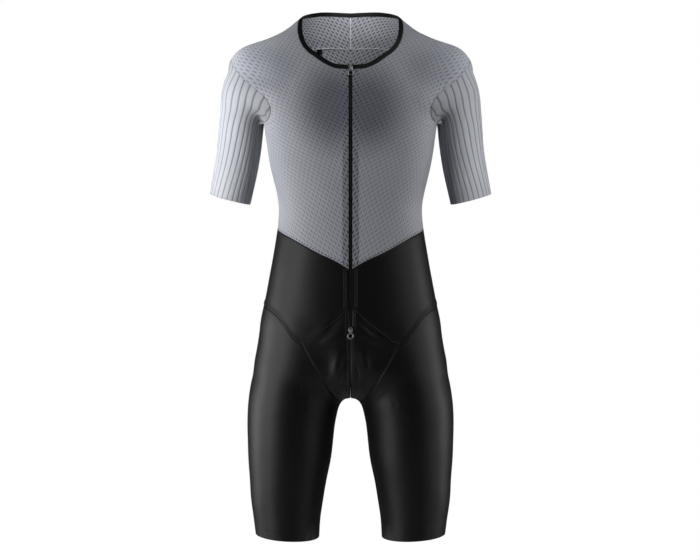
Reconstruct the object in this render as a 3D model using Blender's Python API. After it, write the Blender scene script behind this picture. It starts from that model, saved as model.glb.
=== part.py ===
"""Cycling skinsuit with short sleeves and short legs, in the hollow shape it has when it is worn.

Metres, +Z up, the front towards -Y, the wearer's left towards +X. The origin is in the middle of the
neck opening, level with the shoulders that carry the suit.

The cloth lies on one smooth form: a trunk, two arms and two legs, each a stack of horizontal rings, melted
together. Seams are lines laid on that form. Each panel is a grid stretched between its seams, laid on the
form and given a wall that goes inwards.
"""

import math
from collections import namedtuple

import bmesh
import bpy
import numpy as np
from mathutils import Matrix

# ---------------------------------------------------------------- cloth, seams and how finely they are cut
CLOTH = 0.0016            # wall of every panel
SEAM = 0.0003             # gap between two sewn edges
RIB_RISE = 0.0007         # height of a sleeve's ribs
ZIP_HALF = 0.0037         # half the slot that shows the zip
BINDING_WIDE = 0.0085     # how far the neck binding stands above its seam
BINDING_THICK = 0.0026
BINDING_PROUD = 0.0004    # how far the binding stands out of the panels

NECK_FRONT, NECK_BACK, SHOULDER = 10, 5, 5         # cuts along half of the neckline and one shoulder seam
HOLE_FRONT, HOLE_YOKE, HOLE_BACK = 17, 3, 7        # cuts along one armhole
SIDE = 7                                           # cuts along a side seam
WAIST_DOWN = 6                                     # cuts down a waist panel
INSET_TOP, HIP_FRONT, HIP_BACK = 8, 7, 10          # cuts along the lower edge of a waist panel
INSET_DOWN, CROTCH_BENDS = 14, 2                   # cuts down an inset and across the crotch
SEAT, INSEAM = INSET_DOWN - CROTCH_BENDS, 8        # cuts down the seat seam and the inside leg
ZIP_CUTS = 30
RING_CUTS = 24                                     # cuts round a pull's ring
RIB_BY_TURN = 0.45                                 # share of the ribs' spacing that goes by turn, not by length

# ---------------------------------------------------------------- zip, tab, sliders and pulls
ZIP_TAPE = 0.0140         # reach of the zip's tape from the middle
TAPE_DEEP = 0.0008        # gap behind the panels
TAPE_THICK = 0.0010
ZIP_BELOW_NECK = 0.0015   # how far the zip's top stays below the neckline

TAB_X = -0.0600           # the tab's middle
TAB_GAP = 0.0005          # gap to the back's wall
TAB_THICK = 0.0010
TAB_ACROSS, TAB_UP = 0.42, (0.63, 0.97)            # the share of one cell of the back that the tab covers
TAB_ASIDE = 0.04          # the share of that cell that stays free at its sides

Slider = namedtuple("Slider", "height wide long neck ring lean")
TOP_SLIDER = Slider(-0.0705, 0.0084, 0.0095, 0.0090, 0.0056, 3.0)       # its pull leans on the cloth, in degrees
BOTTOM_SLIDER = Slider(-0.5425, 0.0088, 0.0110, 0.0110, 0.0058, -5.16)  # and this one's hangs straight down
PLATE_GAP, PLATE_THICK = 0.0007, 0.0017            # the plate's gap to the cloth, and its thickness
PLATE_CORNER, PLATE_FOOT = 0.25, 0.36              # its cut corners and half its foot, as shares of it
PLATE_FLARE_X, PLATE_FLARE_Y = 0.0004, 0.0020      # how it widens just above its foot
BAIL_WIDE, BAIL_BAR = 0.0020, 0.0010
BAIL_ROOM, BAIL_REACH = 0.0023, 0.0018             # the room under the bail: its height and half its length
BAIL_SUNK = 0.0006        # how deep the bail's feet go into the plate
PULL_THICK = 0.0012
PULL_EYE = 0.0014         # thickness of the bar that runs under the bail
PULL_ARM = 0.0010         # width of the eye's sides
EYE_ROOM = 0.0003         # the eye's gap to the bail
EYE_WALL = 0.0004         # what stays between the eye and the ring
RING_BAR = 0.0021

# ---------------------------------------------------------------- the form, ring by ring
Ring = namedtuple("Ring", "height centre_x centre_y half_width front back")

TRUNK = [
    Ring(-0.600, 0.0, 0.012, 0.1745, 0.1040, 0.1120),
    Ring(-0.560, 0.0, 0.011, 0.1720, 0.1100, 0.1130),
    Ring(-0.526, 0.0, 0.010, 0.1680, 0.1120, 0.1080),
    Ring(-0.489, 0.0, 0.009, 0.1605, 0.1110, 0.1000),
    Ring(-0.440, 0.0, 0.008, 0.1510, 0.1090, 0.0880),
    Ring(-0.395, 0.0, 0.006, 0.1430, 0.1050, 0.0800),
    Ring(-0.350, 0.0, 0.004, 0.1360, 0.1020, 0.0800),
    Ring(-0.318, 0.0, 0.003, 0.1345, 0.1030, 0.0840),
    Ring(-0.282, 0.0, 0.002, 0.1405, 0.1090, 0.0930),
    Ring(-0.244, 0.0, 0.002, 0.1500, 0.1170, 0.1040),
    Ring(-0.200, 0.0, 0.003, 0.1570, 0.1230, 0.1120),
    Ring(-0.155, 0.0, 0.004, 0.1640, 0.1220, 0.1160),
    Ring(-0.110, 0.0, 0.006, 0.1780, 0.1120, 0.1130),
    Ring(-0.068, 0.0, 0.008, 0.1930, 0.0970, 0.1050),
    Ring(-0.030, 0.0, 0.010, 0.1930, 0.0820, 0.0940),
    Ring(-0.008, 0.0, 0.012, 0.1650, 0.0720, 0.0850),
    Ring(0.008, 0.0, 0.012, 0.1310, 0.0640, 0.0790),
    Ring(0.024, 0.0, 0.012, 0.1080, 0.0560, 0.0740),
    Ring(0.040, 0.0, 0.013, 0.0890, 0.0500, 0.0670),
    Ring(0.056, 0.0, 0.014, 0.0755, 0.0450, 0.0600),
    Ring(0.080, 0.0, 0.015, 0.0660, 0.0430, 0.0540),
]
TRUNK_FOOT = 0.0765       # how far the trunk's round bottom reaches below its lowest ring

ARM = [
    Ring(-0.335, 0.2330, 0.013, 0.0382, 0.0420, 0.0420),
    Ring(-0.301, 0.2266, 0.013, 0.0394, 0.0430, 0.0430),
    Ring(-0.250, 0.2162, 0.013, 0.0404, 0.0450, 0.0450),
    Ring(-0.207, 0.2095, 0.013, 0.0405, 0.0470, 0.0470),
    Ring(-0.169, 0.2060, 0.012, 0.0410, 0.0490, 0.0490),
    Ring(-0.130, 0.2017, 0.011, 0.0424, 0.0520, 0.0520),
    Ring(-0.095, 0.1950, 0.010, 0.0444, 0.0540, 0.0540),
    Ring(-0.065, 0.1845, 0.010, 0.0445, 0.0510, 0.0510),
]
ARM_CAP = 0.048

LEG = [
    Ring(-0.965, 0.1185, 0.006, 0.0570, 0.0600, 0.0600),
    Ring(-0.937, 0.1192, 0.006, 0.0600, 0.0635, 0.0635),
    Ring(-0.905, 0.1200, 0.006, 0.0632, 0.0665, 0.0665),
    Ring(-0.868, 0.1198, 0.006, 0.0684, 0.0705, 0.0705),
    Ring(-0.830, 0.1177, 0.007, 0.0729, 0.0760, 0.0760),
    Ring(-0.795, 0.1152, 0.008, 0.0778, 0.0810, 0.0810),
    Ring(-0.757, 0.1136, 0.009, 0.0809, 0.0855, 0.0855),
    Ring(-0.720, 0.1115, 0.010, 0.0835, 0.0890, 0.0900),
    Ring(-0.690, 0.1076, 0.011, 0.0862, 0.0920, 0.0940),
    Ring(-0.660, 0.1030, 0.012, 0.0868, 0.0940, 0.0970),
    Ring(-0.625, 0.0968, 0.013, 0.0848, 0.0950, 0.0990),
    Ring(-0.590, 0.0900, 0.013, 0.0785, 0.0920, 0.0980),
    Ring(-0.550, 0.0830, 0.013, 0.0690, 0.0880, 0.0930),
]
LEG_CAP = 0.060

Bridge = namedtuple("Bridge", "x y z to_x to_y to_z radius")
BRIDGES = [               # the folds that join the chest and the back to the arm
    Bridge(0.1250, -0.050, -0.1220, 0.2000, -0.012, -0.1120, 0.0300),
    Bridge(0.1250, 0.052, -0.1250, 0.2000, 0.034, -0.1150, 0.0300),
]
BRIDGE_MELT = 0.016

TRUNK_POWER, LIMB_POWER = 2.25, 2.0                # 2 is an ellipse, more is squarer
ARMPIT_MELT, SHOULDER_MELT = 0.005, 0.030          # how softly the arm runs into the trunk, low and high
ARMPIT_HIGH, SHOULDER_HIGH = -0.150, -0.080        # the heights between which that changes
LEG_MELT = 0.026

# ---------------------------------------------------------------- seams: rough places, then laid on the form
Place = namedtuple("Place", "x y z")

NECKLINE = [
    Place(ZIP_HALF, -0.088, -0.0706),
    Place(0.0151, -0.088, -0.0710),
    Place(0.0291, -0.087, -0.0681),
    Place(0.0482, -0.083, -0.0592),
    Place(0.0626, -0.077, -0.0490),
    Place(0.0769, -0.068, -0.0383),
    Place(0.0894, -0.055, -0.0222),
    Place(0.0961, -0.038, -0.0025),
    Place(0.0975, -0.024, 0.0108),
    Place(0.0958, -0.006, 0.0227),
    Place(0.0917, 0.012, 0.0310),
    Place(0.0850, 0.030, 0.0390),
    Place(0.0740, 0.048, 0.0440),
    Place(0.0600, 0.060, 0.0470),
    Place(0.0340, 0.070, 0.0485),
    Place(0.0000, 0.074, 0.0475),
]
NECK_AT_SHOULDER = 11     # the row of NECKLINE where the shoulder seam starts

SHOULDER_LINE = [
    Place(0.0850, 0.030, 0.0390),
    Place(0.1250, 0.034, 0.0130),
    Place(0.1650, 0.036, -0.0080),
    Place(0.2170, 0.034, -0.0400),
]

ARMHOLE = [
    Place(0.1648, 0.010, -0.1630),
    Place(0.1600, -0.030, -0.1600),
    Place(0.1510, -0.058, -0.1570),
    Place(0.1471, -0.068, -0.1447),
    Place(0.1476, -0.070, -0.1314),
    Place(0.1545, -0.070, -0.1212),
    Place(0.1648, -0.066, -0.1107),
    Place(0.1786, -0.058, -0.0980),
    Place(0.1947, -0.046, -0.0849),
    Place(0.2135, -0.022, -0.0617),
    Place(0.2215, 0.004, -0.0416),
    Place(0.2170, 0.034, -0.0400),
    Place(0.2080, 0.060, -0.0600),
    Place(0.1950, 0.080, -0.0900),
    Place(0.1780, 0.086, -0.1200),
    Place(0.1640, 0.070, -0.1500),
    Place(0.1620, 0.045, -0.1600),
    Place(0.1648, 0.010, -0.1630),
]
ARMHOLE_TOP, ARMHOLE_YOKE = 11, 13                 # rows where the shoulder seam and the yoke seam end

SIDE_LINE = [
    Place(0.1648, 0.010, -0.1630),
    Place(0.1560, 0.012, -0.2100),
    Place(0.1345, 0.012, -0.3200),
    Place(0.1370, 0.012, -0.3560),
]
YOKE_LINE = [
    Place(0.0000, 0.092, -0.0095),
    Place(0.0700, 0.088, -0.0100),
    Place(0.1400, 0.084, -0.0340),
    Place(0.1950, 0.080, -0.0900),
]
WAIST_LINE = [
    Place(ZIP_HALF, -0.103, -0.4320),
    Place(0.0213, -0.102, -0.4213),
    Place(0.0600, -0.092, -0.4030),
    Place(0.1000, -0.070, -0.3810),
    Place(0.1370, 0.012, -0.3560),
    Place(0.0950, 0.064, -0.3520),
    Place(0.0000, 0.086, -0.3560),
]
WAIST_AT_SIDE = 4

HIP_LINE = [
    Place(ZIP_HALF, -0.102, -0.5050),
    Place(0.0120, -0.102, -0.5110),
    Place(0.0275, -0.100, -0.5260),
    Place(0.0470, -0.098, -0.5410),
    Place(0.0901, -0.083, -0.5690),
    Place(0.1250, -0.055, -0.5290),
    Place(0.1610, 0.010, -0.4980),
    Place(0.1250, 0.080, -0.4820),
    Place(0.0600, 0.108, -0.4860),
    Place(0.0000, 0.112, -0.4950),
]
HIP_AT_CORNER, HIP_AT_SIDE = 4, 6

INSET_LINE = [
    Place(0.0901, -0.083, -0.5690),
    Place(0.0690, -0.092, -0.6067),
    Place(0.0550, -0.086, -0.6305),
    Place(0.0370, -0.056, -0.6600),
    Place(0.0240, -0.020, -0.6790),
    Place(0.0200, 0.014, -0.6840),
]
CROTCH = Place(SEAM / 2, 0.014, -0.6765)
ZIP_END = -0.5510         # height of the zip's lower end
ZIP_CLOSE = 0.0050        # the length over which the slot closes below it

Edge = namedtuple("Edge", "x y z climb_out climb_back")
HEM = Edge(0.1190, 0.006, -0.9380, 0.06, 0.0)      # an open edge: its middle and how its cut climbs
CUFF = Edge(0.2278, 0.013, -0.3028, 0.27, 0.07)
ARMPIT_ROWS = (0.0, 0.10, 0.26, 0.48, 0.74)        # rows of a sleeve from its seam to the height below
ARMPIT_LOW = -0.1740
CUFF_ROWS = (0.0, 0.18, 0.38, 0.58, 0.79, 1.0)     # and from there to the cuff
RIB_PROFILE = ((0.0, 0.0), (0.16, 1.0), (0.84, 1.0))   # (share of the pitch, share of the rise), from a groove

BEFORE, BEHIND, BEHIND_YOKE = -0.11, 0.10, 0.09    # rough depths from which the middle's lines are laid
TURN_HIGH = -0.60         # height from which the centre seams turn in under the crotch
TURN_START, TURN_FRONT, TURN_DROP = -0.104, -0.105, 0.072  # rough depths in front, and the fall to the crotch
TURN_BACK, TURN_LIFT = 0.11, 0.005                 # rough depth of the seat, and its height over the crotch
TURN_READS, SEAT_READS = 60, 80                    # how many places the turns are read at
INSEAM_DRIFT = 0.5        # power of the share with which the inside leg seam moves to the leg's middle
LIMB_GUESS = 0.05         # rough radius from which a hem or a cuff is laid

FACING = (1, 9, 1)        # moves points mostly to the front or back, so that they stay put in a front view
EASING = 40               # how many times a grid's inner points are let slide
LEAST_RATE = 0.05         # the form's distance never counts as growing slower than this
LARGEST_MOVE = 0.02       # and a point never moves farther in one step

Fold = namedtuple("Fold", "x y z along_x along_y along_z length width depth")
FOLDS = [                 # soft ridges, or troughs where the depth is negative
    Fold(0.0350, -0.100, -0.5400, 0.78, 0.0, -0.63, 0.024, 0.0080, -0.0020),
    Fold(0.0380, -0.098, -0.5600, 0.86, 0.0, -0.50, 0.026, 0.0080, 0.0012),
    Fold(0.0250, -0.094, -0.6050, 0.12, 0.0, -1.00, 0.034, 0.0140, 0.0035),
    Fold(0.0000, -0.094, -0.6150, 0.00, 0.0, -1.00, 0.040, 0.0070, -0.0015),
]


# ---------------------------------------------------------------- small tools
def spline(at, knots, values):
    """Natural cubic spline through values (a column or several) at the knots, held at its ends."""
    knots = np.asarray(knots, float)
    values = np.asarray(values, float)
    steps = np.diff(knots)
    count = len(knots)
    rises = np.diff(values, axis=0) / steps.reshape((-1,) + (1,) * (values.ndim - 1))
    matrix = np.eye(count)
    wanted = np.zeros_like(values)
    for row in range(1, count - 1):
        matrix[row, row - 1 : row + 2] = (steps[row - 1], 2 * (steps[row - 1] + steps[row]), steps[row])
        wanted[row] = 6 * (rises[row] - rises[row - 1])
    bends = np.linalg.solve(matrix, wanted)
    at = np.clip(np.asarray(at, float), knots[0], knots[-1])
    cell = np.clip(np.searchsorted(knots, at, side="right") - 1, 0, count - 2)
    shape = at.shape + (1,) * (values.ndim - 1)
    step = steps[cell].reshape(shape)
    ahead = ((knots[cell + 1] - at).reshape(shape)) / step
    behind = 1 - ahead
    curve = (ahead**3 - ahead) * bends[cell] + (behind**3 - behind) * bends[cell + 1]
    return ahead * values[cell] + behind * values[cell + 1] + curve * step**2 / 6


def unit(vectors):
    """Vectors with their length brought to one."""
    return vectors / np.maximum(np.linalg.norm(vectors, axis=-1, keepdims=True), 1e-12)


def melted(one, other, softness):
    """The smaller of two distances, rounded off where they are alike."""
    alike = np.maximum(softness - np.abs(one - other), 0.0) / softness
    return np.minimum(one, other) - alike**2 * softness / 4


# ---------------------------------------------------------------- the form
def stack_gap(rings, points, power, cap_above=0.0, cap_below=0.0):
    """Distance of points from a stack of rings, negative inside, closed by round caps."""
    heights = [ring.height for ring in rings]
    z = points[..., 2]
    columns = spline(z, heights, [ring[1:] for ring in rings])
    across = points[..., 0] - columns[..., 0]
    along = points[..., 1] - columns[..., 1]
    depth = np.where(along < 0, columns[..., 3], columns[..., 4])
    above = np.maximum(z - heights[-1], 0.0)
    below = np.maximum(heights[0] - z, 0.0)
    share = (np.abs(across) / columns[..., 2]) ** power + (np.abs(along) / depth) ** power
    if cap_above:
        share = share + (above / cap_above) ** power
    if cap_below:
        share = share + (below / cap_below) ** power
    share = np.maximum(share, 1e-9) ** (1 / power)
    reach = np.sqrt(across**2 + along**2 + above**2 * bool(cap_above) + below**2 * bool(cap_below))
    return reach * (1 - 1 / share)


def bridge_gap(bridge, points):
    """Distance of points from a round bar between two points, negative inside."""
    start = np.array([bridge.x, bridge.y, bridge.z])
    reach = np.array([bridge.to_x, bridge.to_y, bridge.to_z]) - start
    share = np.clip((points - start) @ reach / (reach @ reach), 0, 1)
    return np.linalg.norm(points - start - share[..., None] * reach, axis=-1) - bridge.radius


def fold_rise(points):
    """How far the folds stand out at the points."""
    sided = np.concatenate([np.abs(points[..., :1]), points[..., 1:]], axis=-1)
    rise = np.zeros(points.shape[:-1])
    for fold in FOLDS:
        way = np.array([fold.along_x, fold.along_y, fold.along_z])
        offset = sided - (fold.x, fold.y, fold.z)
        along = offset @ (way / np.linalg.norm(way))
        across = np.sqrt(np.maximum(np.sum(offset**2, axis=-1) - along**2, 0.0))
        rise += fold.depth * np.exp(-((along / fold.length) ** 2) - (across / fold.width) ** 2)
    return rise


def form_gap(points):
    """Distance of points from the whole form, negative inside."""
    mirrored = points * (-1, 1, 1)
    sided = np.concatenate([np.abs(points[..., :1]), points[..., 1:]], axis=-1)
    trunk = stack_gap(TRUNK, points, TRUNK_POWER, cap_below=TRUNK_FOOT)
    arm = stack_gap(ARM, sided, LIMB_POWER, cap_above=ARM_CAP, cap_below=ARM_CAP)
    legs = melted(
        stack_gap(LEG, points, LIMB_POWER, cap_above=LEG_CAP),
        stack_gap(LEG, mirrored, LIMB_POWER, cap_above=LEG_CAP),
        LEG_MELT,
    )
    climb = np.clip((points[..., 2] - ARMPIT_HIGH) / (SHOULDER_HIGH - ARMPIT_HIGH), 0, 1)
    softness = ARMPIT_MELT + (SHOULDER_MELT - ARMPIT_MELT) * climb * climb * (3 - 2 * climb)
    whole = melted(melted(trunk, arm, softness), legs, LEG_MELT)
    for bridge in BRIDGES:
        whole = melted(whole, bridge_gap(bridge, sided), BRIDGE_MELT)
    return whole - fold_rise(points)


def form_slope(points, step=0.0004):
    """How the distance grows along x, y and z."""
    slopes = [form_gap(points + shift) - form_gap(points - shift) for shift in np.eye(3) * step]
    return np.stack(slopes, axis=-1) / (2 * step)


def settle(points, along=None, rounds=12, ease=(1, 1, 1)):
    """Moves points onto the form, straight out or in, or only in the direction along."""
    points = np.array(points, float)
    for _ in range(rounds):
        slope = form_slope(points)
        way = slope * ease if along is None else np.broadcast_to(np.asarray(along, float), slope.shape)
        rate = np.sum(slope * way, axis=-1)
        rate = np.where(np.abs(rate) < LEAST_RATE, LEAST_RATE * np.sign(rate + 1e-12), rate)
        move = np.clip(form_gap(points) / rate, -LARGEST_MOVE, LARGEST_MOVE)
        points = points - move[..., None] * way
    return points


def outward(points):
    """Directions straight out of the form."""
    return unit(form_slope(points))


# ---------------------------------------------------------------- seams
def line(places, stretches, ease=FACING, measure=None):
    """Points on the form along a seam. Each stretch is (first row, last row, number of cuts)."""
    places = np.array(places, float)
    along = np.concatenate([[0], np.cumsum(np.linalg.norm(np.diff(places, axis=0), axis=1))])
    parts = []
    for first, last, cuts in stretches:
        fine = spline(np.linspace(along[first], along[last], 40 * cuts + 1), along, places)
        fine = settle(fine, ease=ease)
        run = np.concatenate([[0], np.cumsum(np.linalg.norm(np.diff(fine, axis=0), axis=1))])
        run = run if measure is None else measure(fine, run)
        even = np.linspace(0, run[-1], cuts + 1)
        chosen = np.stack([np.interp(even, run, fine[:, axis]) for axis in range(3)], axis=-1)
        parts.append(settle(chosen, ease=ease))
    return parts


def pinned(points, start=None, end=None):
    """The same line with its ends moved to meet other lines."""
    share = np.linspace(0, 1, len(points))[:, None]
    first = 0 if start is None else start - points[0]
    last = 0 if end is None else end - points[-1]
    return points + (1 - share) * first + share * last


def front_line(x, heights, depth=BEFORE):
    """Points on the front of the form at a distance x from the middle, or on its back."""
    heights = np.asarray(heights, float)
    guess = np.stack([np.broadcast_to(x, heights.shape), np.full_like(heights, depth), heights], axis=-1)
    return settle(guess, along=(0, 1, 0))


def evenly(points, count):
    """A line's points respaced: count of them, at equal lengths."""
    run = np.concatenate([[0], np.cumsum(np.linalg.norm(np.diff(points, axis=0), axis=1))])
    even = np.linspace(0, run[-1], count)
    return np.stack([np.interp(even, run, points[:, axis]) for axis in range(3)], axis=-1)


def slot_half(heights):
    """Half of the opening between the two fronts: the zip's slot, closed below the zip's end."""
    closing = np.clip((ZIP_END - np.asarray(heights, float)) / ZIP_CLOSE, 0, 1)
    return ZIP_HALF + (SEAM / 2 - ZIP_HALF) * closing * closing * (3 - 2 * closing)


# ---------------------------------------------------------------- grids between four seams
def blended(low, high, left, right):
    """Coons patch. low and high run from left to right, left and right from low to high."""
    s = np.linspace(0, 1, low.shape[0])[None, :, None]
    t = np.linspace(0, 1, left.shape[0])[:, None, None]
    ruled = (1 - t) * low[None] + t * high[None] + (1 - s) * left[:, None] + s * right[:, None]
    corners = (1 - s) * ((1 - t) * low[0] + t * high[0]) + s * ((1 - t) * low[-1] + t * high[-1])
    return ruled - corners


def around(points, rings, start):
    """(angle, radius, height) of points about a stack's middle line, with angles that grow from start."""
    heights = [ring.height for ring in rings]
    middle = spline(points[..., 2], heights, [ring[1:3] for ring in rings])
    offset = points[..., :2] - middle
    angle = np.arctan2(-offset[..., 1], -offset[..., 0])
    angle = start + (angle - start + math.pi) % (2 * math.pi) - math.pi
    return np.stack([np.unwrap(angle), np.linalg.norm(offset, axis=-1), points[..., 2]], axis=-1)


def placed(polar, rings):
    """The reverse of around()."""
    heights = [ring.height for ring in rings]
    middle = spline(polar[..., 2], heights, [ring[1:3] for ring in rings])
    x = middle[..., 0] - polar[..., 1] * np.cos(polar[..., 0])
    y = middle[..., 1] - polar[..., 1] * np.sin(polar[..., 0])
    return np.stack([x, y, polar[..., 2]], axis=-1)


def laid(low, high, left, right, rings=None, starts=(0, 0, 0, 0)):
    """A grid on the form between four seams, worked out round a stack's middle line where rings are given."""
    edges = (low, high, left, right)
    if rings is None:
        grid = blended(*edges)
    else:
        grid = placed(blended(*(around(edge, rings, start) for edge, start in zip(edges, starts))), rings)
    grid = settle(grid)
    grid[0], grid[-1], grid[:, 0], grid[:, -1] = low, high, left, right
    return eased(grid)


def eased(grid):
    """Lets a grid's inner points slide on the form until its lines run smoothly and never cross."""
    for _ in range(EASING):
        beside, beyond = grid[1:-1, :-2] + grid[1:-1, 2:], grid[:-2, 1:-1] + grid[2:, 1:-1]
        across, down = grid[1:-1, 2:] - grid[1:-1, :-2], grid[2:, 1:-1] - grid[:-2, 1:-1]
        twist = grid[2:, 2:] - grid[2:, :-2] - grid[:-2, 2:] + grid[:-2, :-2]
        wide, high, slant = (np.sum(one * two, axis=-1, keepdims=True)
                             for one, two in ((across, across), (down, down), (across, down)))
        moved = (high * beside + wide * beyond - slant * twist / 2) / (2 * (high + wide))
        grid[1:-1, 1:-1] = settle(moved, rounds=2)
    return grid


# ---------------------------------------------------------------- walls
def flat_way(way, normals):
    """Directions laid flat on the cloth."""
    return unit(way - np.sum(way * normals, axis=-1, keepdims=True) * normals)


def drawn_in(grid, normals, amount):
    """The grid with its four edges drawn in by an amount, so that sewn edges stand apart."""
    out = grid.copy()
    for edge, inner in ((0, 1), (-1, -2)):
        out[edge] += flat_way(grid[inner] - grid[edge], normals[edge]) * amount
        out[:, edge] += flat_way(grid[:, inner] - grid[:, edge], normals[:, edge]) * amount
    return out


def wall_mesh(name, outer, inner):
    """A closed wall between two grids. The outer one may have several columns for each inner one."""
    rows, wide = outer.shape[:2]
    narrow = inner.shape[1]
    many = (wide - 1) // (narrow - 1)
    points = np.concatenate([outer.reshape(-1, 3), inner.reshape(-1, 3)])

    def at(row, column):
        return row * wide + column

    def under(row, column):
        return rows * wide + row * narrow + column

    faces = []
    for row in range(rows - 1):
        for column in range(wide - 1):
            faces.append([at(row, column), at(row, column + 1), at(row + 1, column + 1), at(row + 1, column)])
        for column in range(narrow - 1):
            faces.append(
                [under(row, column), under(row + 1, column), under(row + 1, column + 1), under(row, column + 1)]
            )
        for column, inside, turned in ((0, 0, False), (wide - 1, narrow - 1, True)):
            side = [at(row, column), at(row + 1, column), under(row + 1, inside), under(row, inside)]
            faces.append(side[::-1] if turned else side)
    for row, turned in ((0, True), (rows - 1, False)):
        for column in range(narrow - 1):
            top = [at(row, many * column + step) for step in range(many + 1)]
            end = [*top, under(row, column + 1), under(row, column)]
            faces.append(end[::-1] if turned else end)
    mesh = bpy.data.meshes.new(name)
    mesh.from_pydata(points.tolist(), [], faces)
    return mesh


def turned_out(mesh):
    """Makes a mesh's faces point outwards, going by its volume."""
    work = bmesh.new()
    work.from_mesh(mesh)
    if work.calc_volume(signed=True) < 0:
        bmesh.ops.reverse_faces(work, faces=work.faces)
    work.to_mesh(mesh)
    work.free()
    mesh.shade_smooth()
    mesh.set_sharp_from_angle(angle=math.radians(40))
    return mesh


def material(name, colour, roughness, metallic=0.0):
    """A plain material."""
    made = bpy.data.materials.new(name)
    made.use_nodes = True
    shader = made.node_tree.nodes["Principled BSDF"]
    shader.inputs["Base Color"].default_value = (*colour, 1)
    shader.inputs["Roughness"].default_value = roughness
    shader.inputs["Metallic"].default_value = metallic
    return made


def add(name, mesh, finish):
    """An object of the mesh, in the scene."""
    mesh.materials.append(finish)
    made = bpy.data.objects.new(name, mesh)
    bpy.context.scene.collection.objects.link(made)
    return made


def panel(name, grid, finish, thickness=CLOTH, proud=0.0, mirrored=False):
    """A piece of cloth: the grid is its outside, and its wall goes inwards."""
    normals = outward(grid)
    trimmed = drawn_in(grid, normals, SEAM / 2) + normals * proud
    outer, inner = trimmed, trimmed - normals * thickness
    if mirrored:
        outer, inner = outer * (-1, 1, 1), inner * (-1, 1, 1)
    return add(name, turned_out(wall_mesh(name, outer, inner)), finish)


def both(name, grid, finish, **more):
    """A panel on the wearer's left and its mirror image on the right."""
    panel(name + "_left", grid, finish, **more)
    panel(name + "_right", grid, finish, mirrored=True, **more)


def ribbed(name, grid, finish, mirrored=False):
    """A sleeve: a raised rib runs between each two columns of its grid, and its inside is plain."""
    normals = outward(grid)
    base = drawn_in(grid, normals, SEAM / 2)
    rows, columns = grid.shape[:2]
    many = len(RIB_PROFILE)
    outer = np.zeros((rows, many * (columns - 1) + 1, 3))
    for step, (share, rise) in enumerate(RIB_PROFILE):
        way = unit(normals[:, :-1] * (1 - share) + normals[:, 1:] * share)
        outer[:, step:-1:many] = base[:, :-1] * (1 - share) + base[:, 1:] * share + way * rise * RIB_RISE
    outer[:, -1] = base[:, -1]
    inner = base - normals * CLOTH
    if mirrored:
        outer, inner = outer * (-1, 1, 1), inner * (-1, 1, 1)
    return add(name, turned_out(wall_mesh(name, outer, inner)), finish)


# ---------------------------------------------------------------- the cut
def rib_measure(fine, run):
    """Spaces the cuts of an armhole partly by the turn round the arm, so that the ribs run straight down."""
    turn = around(fine, ARM, 0.0)[:, 0]
    turn = np.maximum.accumulate(np.abs(turn - turn[0]))
    return RIB_BY_TURN * turn / turn[-1] + (1 - RIB_BY_TURN) * run / run[-1]


def seams():
    """Every seam of the wearer's left half, as points on the form."""
    cut = {}
    cut["neck_front"], cut["neck_back"] = line(
        NECKLINE, [(0, NECK_AT_SHOULDER, NECK_FRONT), (NECK_AT_SHOULDER, len(NECKLINE) - 1, NECK_BACK)]
    )
    cut["hole_front"], cut["hole_yoke"], cut["hole_back"] = line(
        ARMHOLE,
        [
            (0, ARMHOLE_TOP, HOLE_FRONT),
            (ARMHOLE_TOP, ARMHOLE_YOKE, HOLE_YOKE),
            (ARMHOLE_YOKE, len(ARMHOLE) - 1, HOLE_BACK),
        ],
        ease=(1, 4, 1),
        measure=rib_measure,
    )
    armpit = cut["hole_front"][0]
    cut["hole_back"] = pinned(cut["hole_back"], start=cut["hole_yoke"][-1], end=armpit)
    (shoulder,) = line(SHOULDER_LINE, [(0, len(SHOULDER_LINE) - 1, SHOULDER)])
    cut["shoulder"] = pinned(shoulder, start=cut["neck_front"][-1], end=cut["hole_front"][-1])
    cut["waist_front"], cut["waist_back"] = line(
        WAIST_LINE,
        [
            (0, WAIST_AT_SIDE, NECK_FRONT + SHOULDER),
            (WAIST_AT_SIDE, len(WAIST_LINE) - 1, NECK_BACK + SHOULDER),
        ],
    )
    (side,) = line(SIDE_LINE, [(0, len(SIDE_LINE) - 1, SIDE)])
    cut["side"] = pinned(side, start=armpit, end=cut["waist_front"][-1])[::-1]
    (yoke,) = line(YOKE_LINE, [(0, len(YOKE_LINE) - 1, NECK_BACK + SHOULDER)])
    cut["yoke"] = pinned(yoke, end=cut["hole_yoke"][-1])
    cut["inset_top"], cut["hip_front"], cut["hip_back"] = line(
        HIP_LINE,
        [
            (0, HIP_AT_CORNER, INSET_TOP),
            (HIP_AT_CORNER, HIP_AT_SIDE, HIP_FRONT),
            (HIP_AT_SIDE, len(HIP_LINE) - 1, HIP_BACK),
        ],
    )
    corner = cut["inset_top"][-1]
    (inset,) = line(INSET_LINE, [(0, len(INSET_LINE) - 1, INSET_DOWN)], ease=(1, 3, 1))
    cut["inset_side"] = pinned(inset, start=corner)
    return cut


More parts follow.
